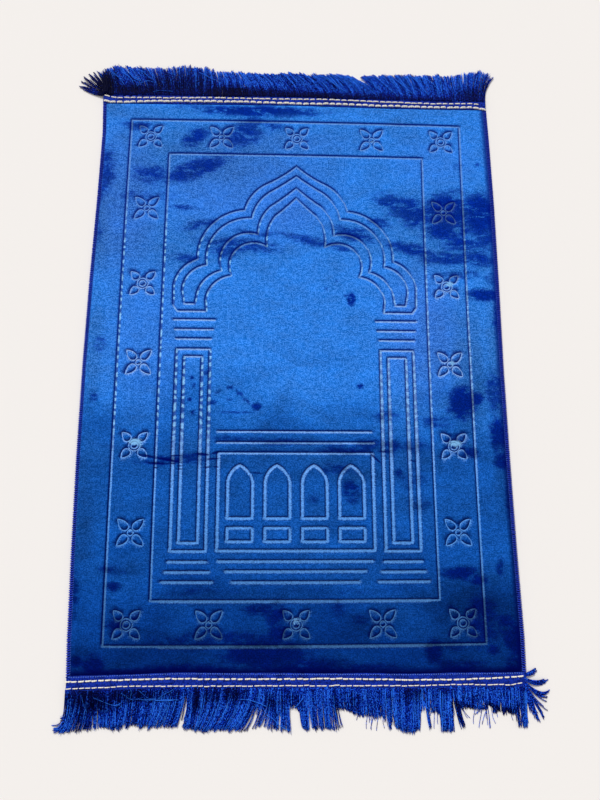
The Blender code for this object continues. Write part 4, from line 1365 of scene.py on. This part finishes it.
def tufted(tufts, pale):
    """The frayed tufts at one end of a heading."""
    paths = []
    for tuft in tufts:
        root, middle, tip = (np.array(place, float) for place in (tuft.root, tuft.middle, tuft.tip))
        run = tip - root
        aside = np.array((-run[1], run[0])) / np.hypot(*run)
        for _ in range(tuft.yarns):
            share = np.linspace(0, chance.uniform(*TUFT_REACH), YARN_STEPS)
            off = chance.normal(0, tuft.spread)
            bend = (middle - (root + tip) / 2 + chance.normal(0, TUFT_STRAYING, 2)) * 4
            along = root + run * share[:, None] + bend * (share * (1 - share))[:, None]
            frizz = TUFT_WAVE * np.sin(chance.uniform(0, 6) + share * chance.uniform(*TUFT_TURN))
            along = along + aside * (off * share**0.7 + frizz * share)[:, None]
            lift = TUFT_LIFT * chance.random() * share * (1.3 - share)
            z = TUFT_HEIGHT * (1 - share) ** 2 + TUFT_RADIUS + lift
            paths.append(np.column_stack((along, z)))
    return Yarns(np.array(paths), TUFT_RADIUS, pale)


def strayed(lines, height, pale):
    """Single yarns through these places, on top of the others or down on the floor."""
    paths = []
    for line in lines:
        share = np.linspace(0, len(line) - 1, YARN_STEPS)
        path = np.column_stack([np.interp(share, range(len(line)), column) for column in zip(*line)])
        path[1:-1] = (path[:-2] + 2 * path[1:-1] + path[2:]) / 4
        wave = STRAY_WAVE * np.sin(np.linspace(0, chance.uniform(*STRAY_TURN), YARN_STEPS))
        paths.append(np.column_stack((path + wave[:, None], np.full(YARN_STEPS, height))))
    return Yarns(np.array(paths), YARN_RADIUS, pale)


def fringe_piece(name, groups, shades, finish):
    """One fringe's yarns from all its groups, as one piece."""
    paths = np.concatenate([yarns.paths for yarns in groups])
    thickness = np.concatenate([np.broadcast_to(y.thickness, y.paths.shape[:2]) for y in groups])
    pale = np.concatenate([np.broadcast_to(y.pale, y.paths.shape[:2]) for y in groups])
    shaded = patched(paths[:, :, :2].reshape(-1, 2), shades)
    measures = {"pale": pale.reshape(-1), "shaded": shaded}
    measures = {title: np.repeat(values, YARN_SIDES) for title, values in measures.items()}
    return sewn_piece(name, tubes(paths, thickness, YARN_SIDES), finish, measures)


YARN_DARK = dye(0, 4, 60)
YARN_MIDDLE = dye(4, 44, 186)
YARN_PALE = dye(48, 128, 250)


def yarn_finish():
    material, shader, place = new_finish("fringe_yarn", Roughness=0.5, Specular_IOR_Level=0.03)
    twist = place.stretched(0.0013, 0.0021, 0.002).grain(1.0)
    pale = place.measure("pale") + 2.6 * (twist - 0.5)
    shade = place.measure("shaded")
    tone = (pale - 0.45 * shade).eased(-0.25, 0.95)
    colour = tone.eased(0.0, 0.5).between(YARN_DARK, YARN_MIDDLE)
    colour = tone.eased(0.45, 1.0).between(colour, YARN_PALE)
    wire(colour.shaded(1 - 0.6 * shade.eased(0.2, 1.2)), shader, "Base Color")
    return material


yarn = yarn_finish()
near_groups = [
    combed(NEAR_LOCKS, NEAR_END, -1),
    tufted(NEAR_TUFTS, 0.3),
    strayed(DANGLERS, YARN_RADIUS * RESTING, 0.3),
    strayed(NEAR_STRAYS, STRAY_HEIGHT, 1.0),
]
near_fringe = fringe_piece("near_yarns", near_groups, NEAR_SHADES, yarn)
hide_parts("near_fringe")
far_groups = [
    combed(FAR_LOCKS, FAR_END, 1),
    strayed(FAR_STRAYS, STRAY_HEIGHT, 0.9),
    tufted(FAR_TUFTS, 0.08),
]
far_fringe = fringe_piece("far_yarns", far_groups, FAR_SHADES, yarn)
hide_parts("far_fringe")

sewn_on += [near_heading, far_heading, near_fringe, far_fringe]

# --- The floor, the light and the camera ----------------------------------------------------------
# A plain pale floor under soft studio light that falls from beyond the far left corner. The camera
# stands over the near half of the rug and looks down on it.

FLOOR_SIZE = 6.0
FLOOR_DROP = 0.0005
FLOOR_COLOUR = dye(246, 242, 237)


def pale_floor():
    material, shader, place = new_finish("pale_floor", Roughness=0.95, Specular_IOR_Level=0.1)
    speckle = place.stretched(0.3, 0.3, 1).grain(2.0)
    wire((0.1 * speckle).between(FLOOR_COLOUR, dye(240, 236, 231)), shader, "Base Color")
    half = FLOOR_SIZE / 2
    mesh = bpy.data.meshes.new("pale_floor")
    corners = [(-half, -half, 0), (half, -half, 0), (half, half, 0), (-half, half, 0)]
    mesh.from_pydata(corners, [], [(0, 1, 2, 3)])
    mesh.materials.append(material)
    floor = added("pale_floor", mesh)
    floor.location.z = -FLOOR_DROP


pale_floor()

SUN_STRENGTH = 2.3
SUN_SPREAD = math.radians(16)
SUN_HEIGHT = math.radians(42)
SUN_SIDE = math.radians(25)
SUN_DISTANCE = 3
SKY_STRENGTH = 0.52
SKY_COLOUR = dye(250, 249, 252)

sun = bpy.data.lights.new("studio_sun", "SUN")
sun.energy = SUN_STRENGTH
sun.angle = SUN_SPREAD
lamp = added("studio_sun", sun)
away = math.cos(SUN_HEIGHT)
towards = Vector((-away * math.sin(SUN_SIDE), away * math.cos(SUN_SIDE), math.sin(SUN_HEIGHT)))
lamp.rotation_euler = towards.to_track_quat("Z", "Y").to_euler()
lamp.location = towards * SUN_DISTANCE

world = bpy.data.worlds.new("studio_sky")
world.use_nodes = True
background = world.node_tree.nodes["Background"]
background.inputs["Color"].default_value = SKY_COLOUR
background.inputs["Strength"].default_value = SKY_STRENGTH
bpy.context.scene.world = world
bpy.context.scene.view_settings.view_transform = "Standard"

CAMERA_PLACE = (-0.0275, -0.2385, 0.983)
CAMERA_TURN = (0.18388, -0.03282, 0.00644)
FOCAL_PIXELS = 601
PHOTO_HEIGHT = 800

eye = bpy.data.cameras.new("camera")
eye.sensor_width = 36
eye.lens = FOCAL_PIXELS / PHOTO_HEIGHT * eye.sensor_width
eye.clip_start = 0.05
camera = added("camera", eye)
camera.location = CAMERA_PLACE
camera.rotation_mode = "ZYX"
camera.rotation_euler = CAMERA_TURN
bpy.context.scene.camera = camera
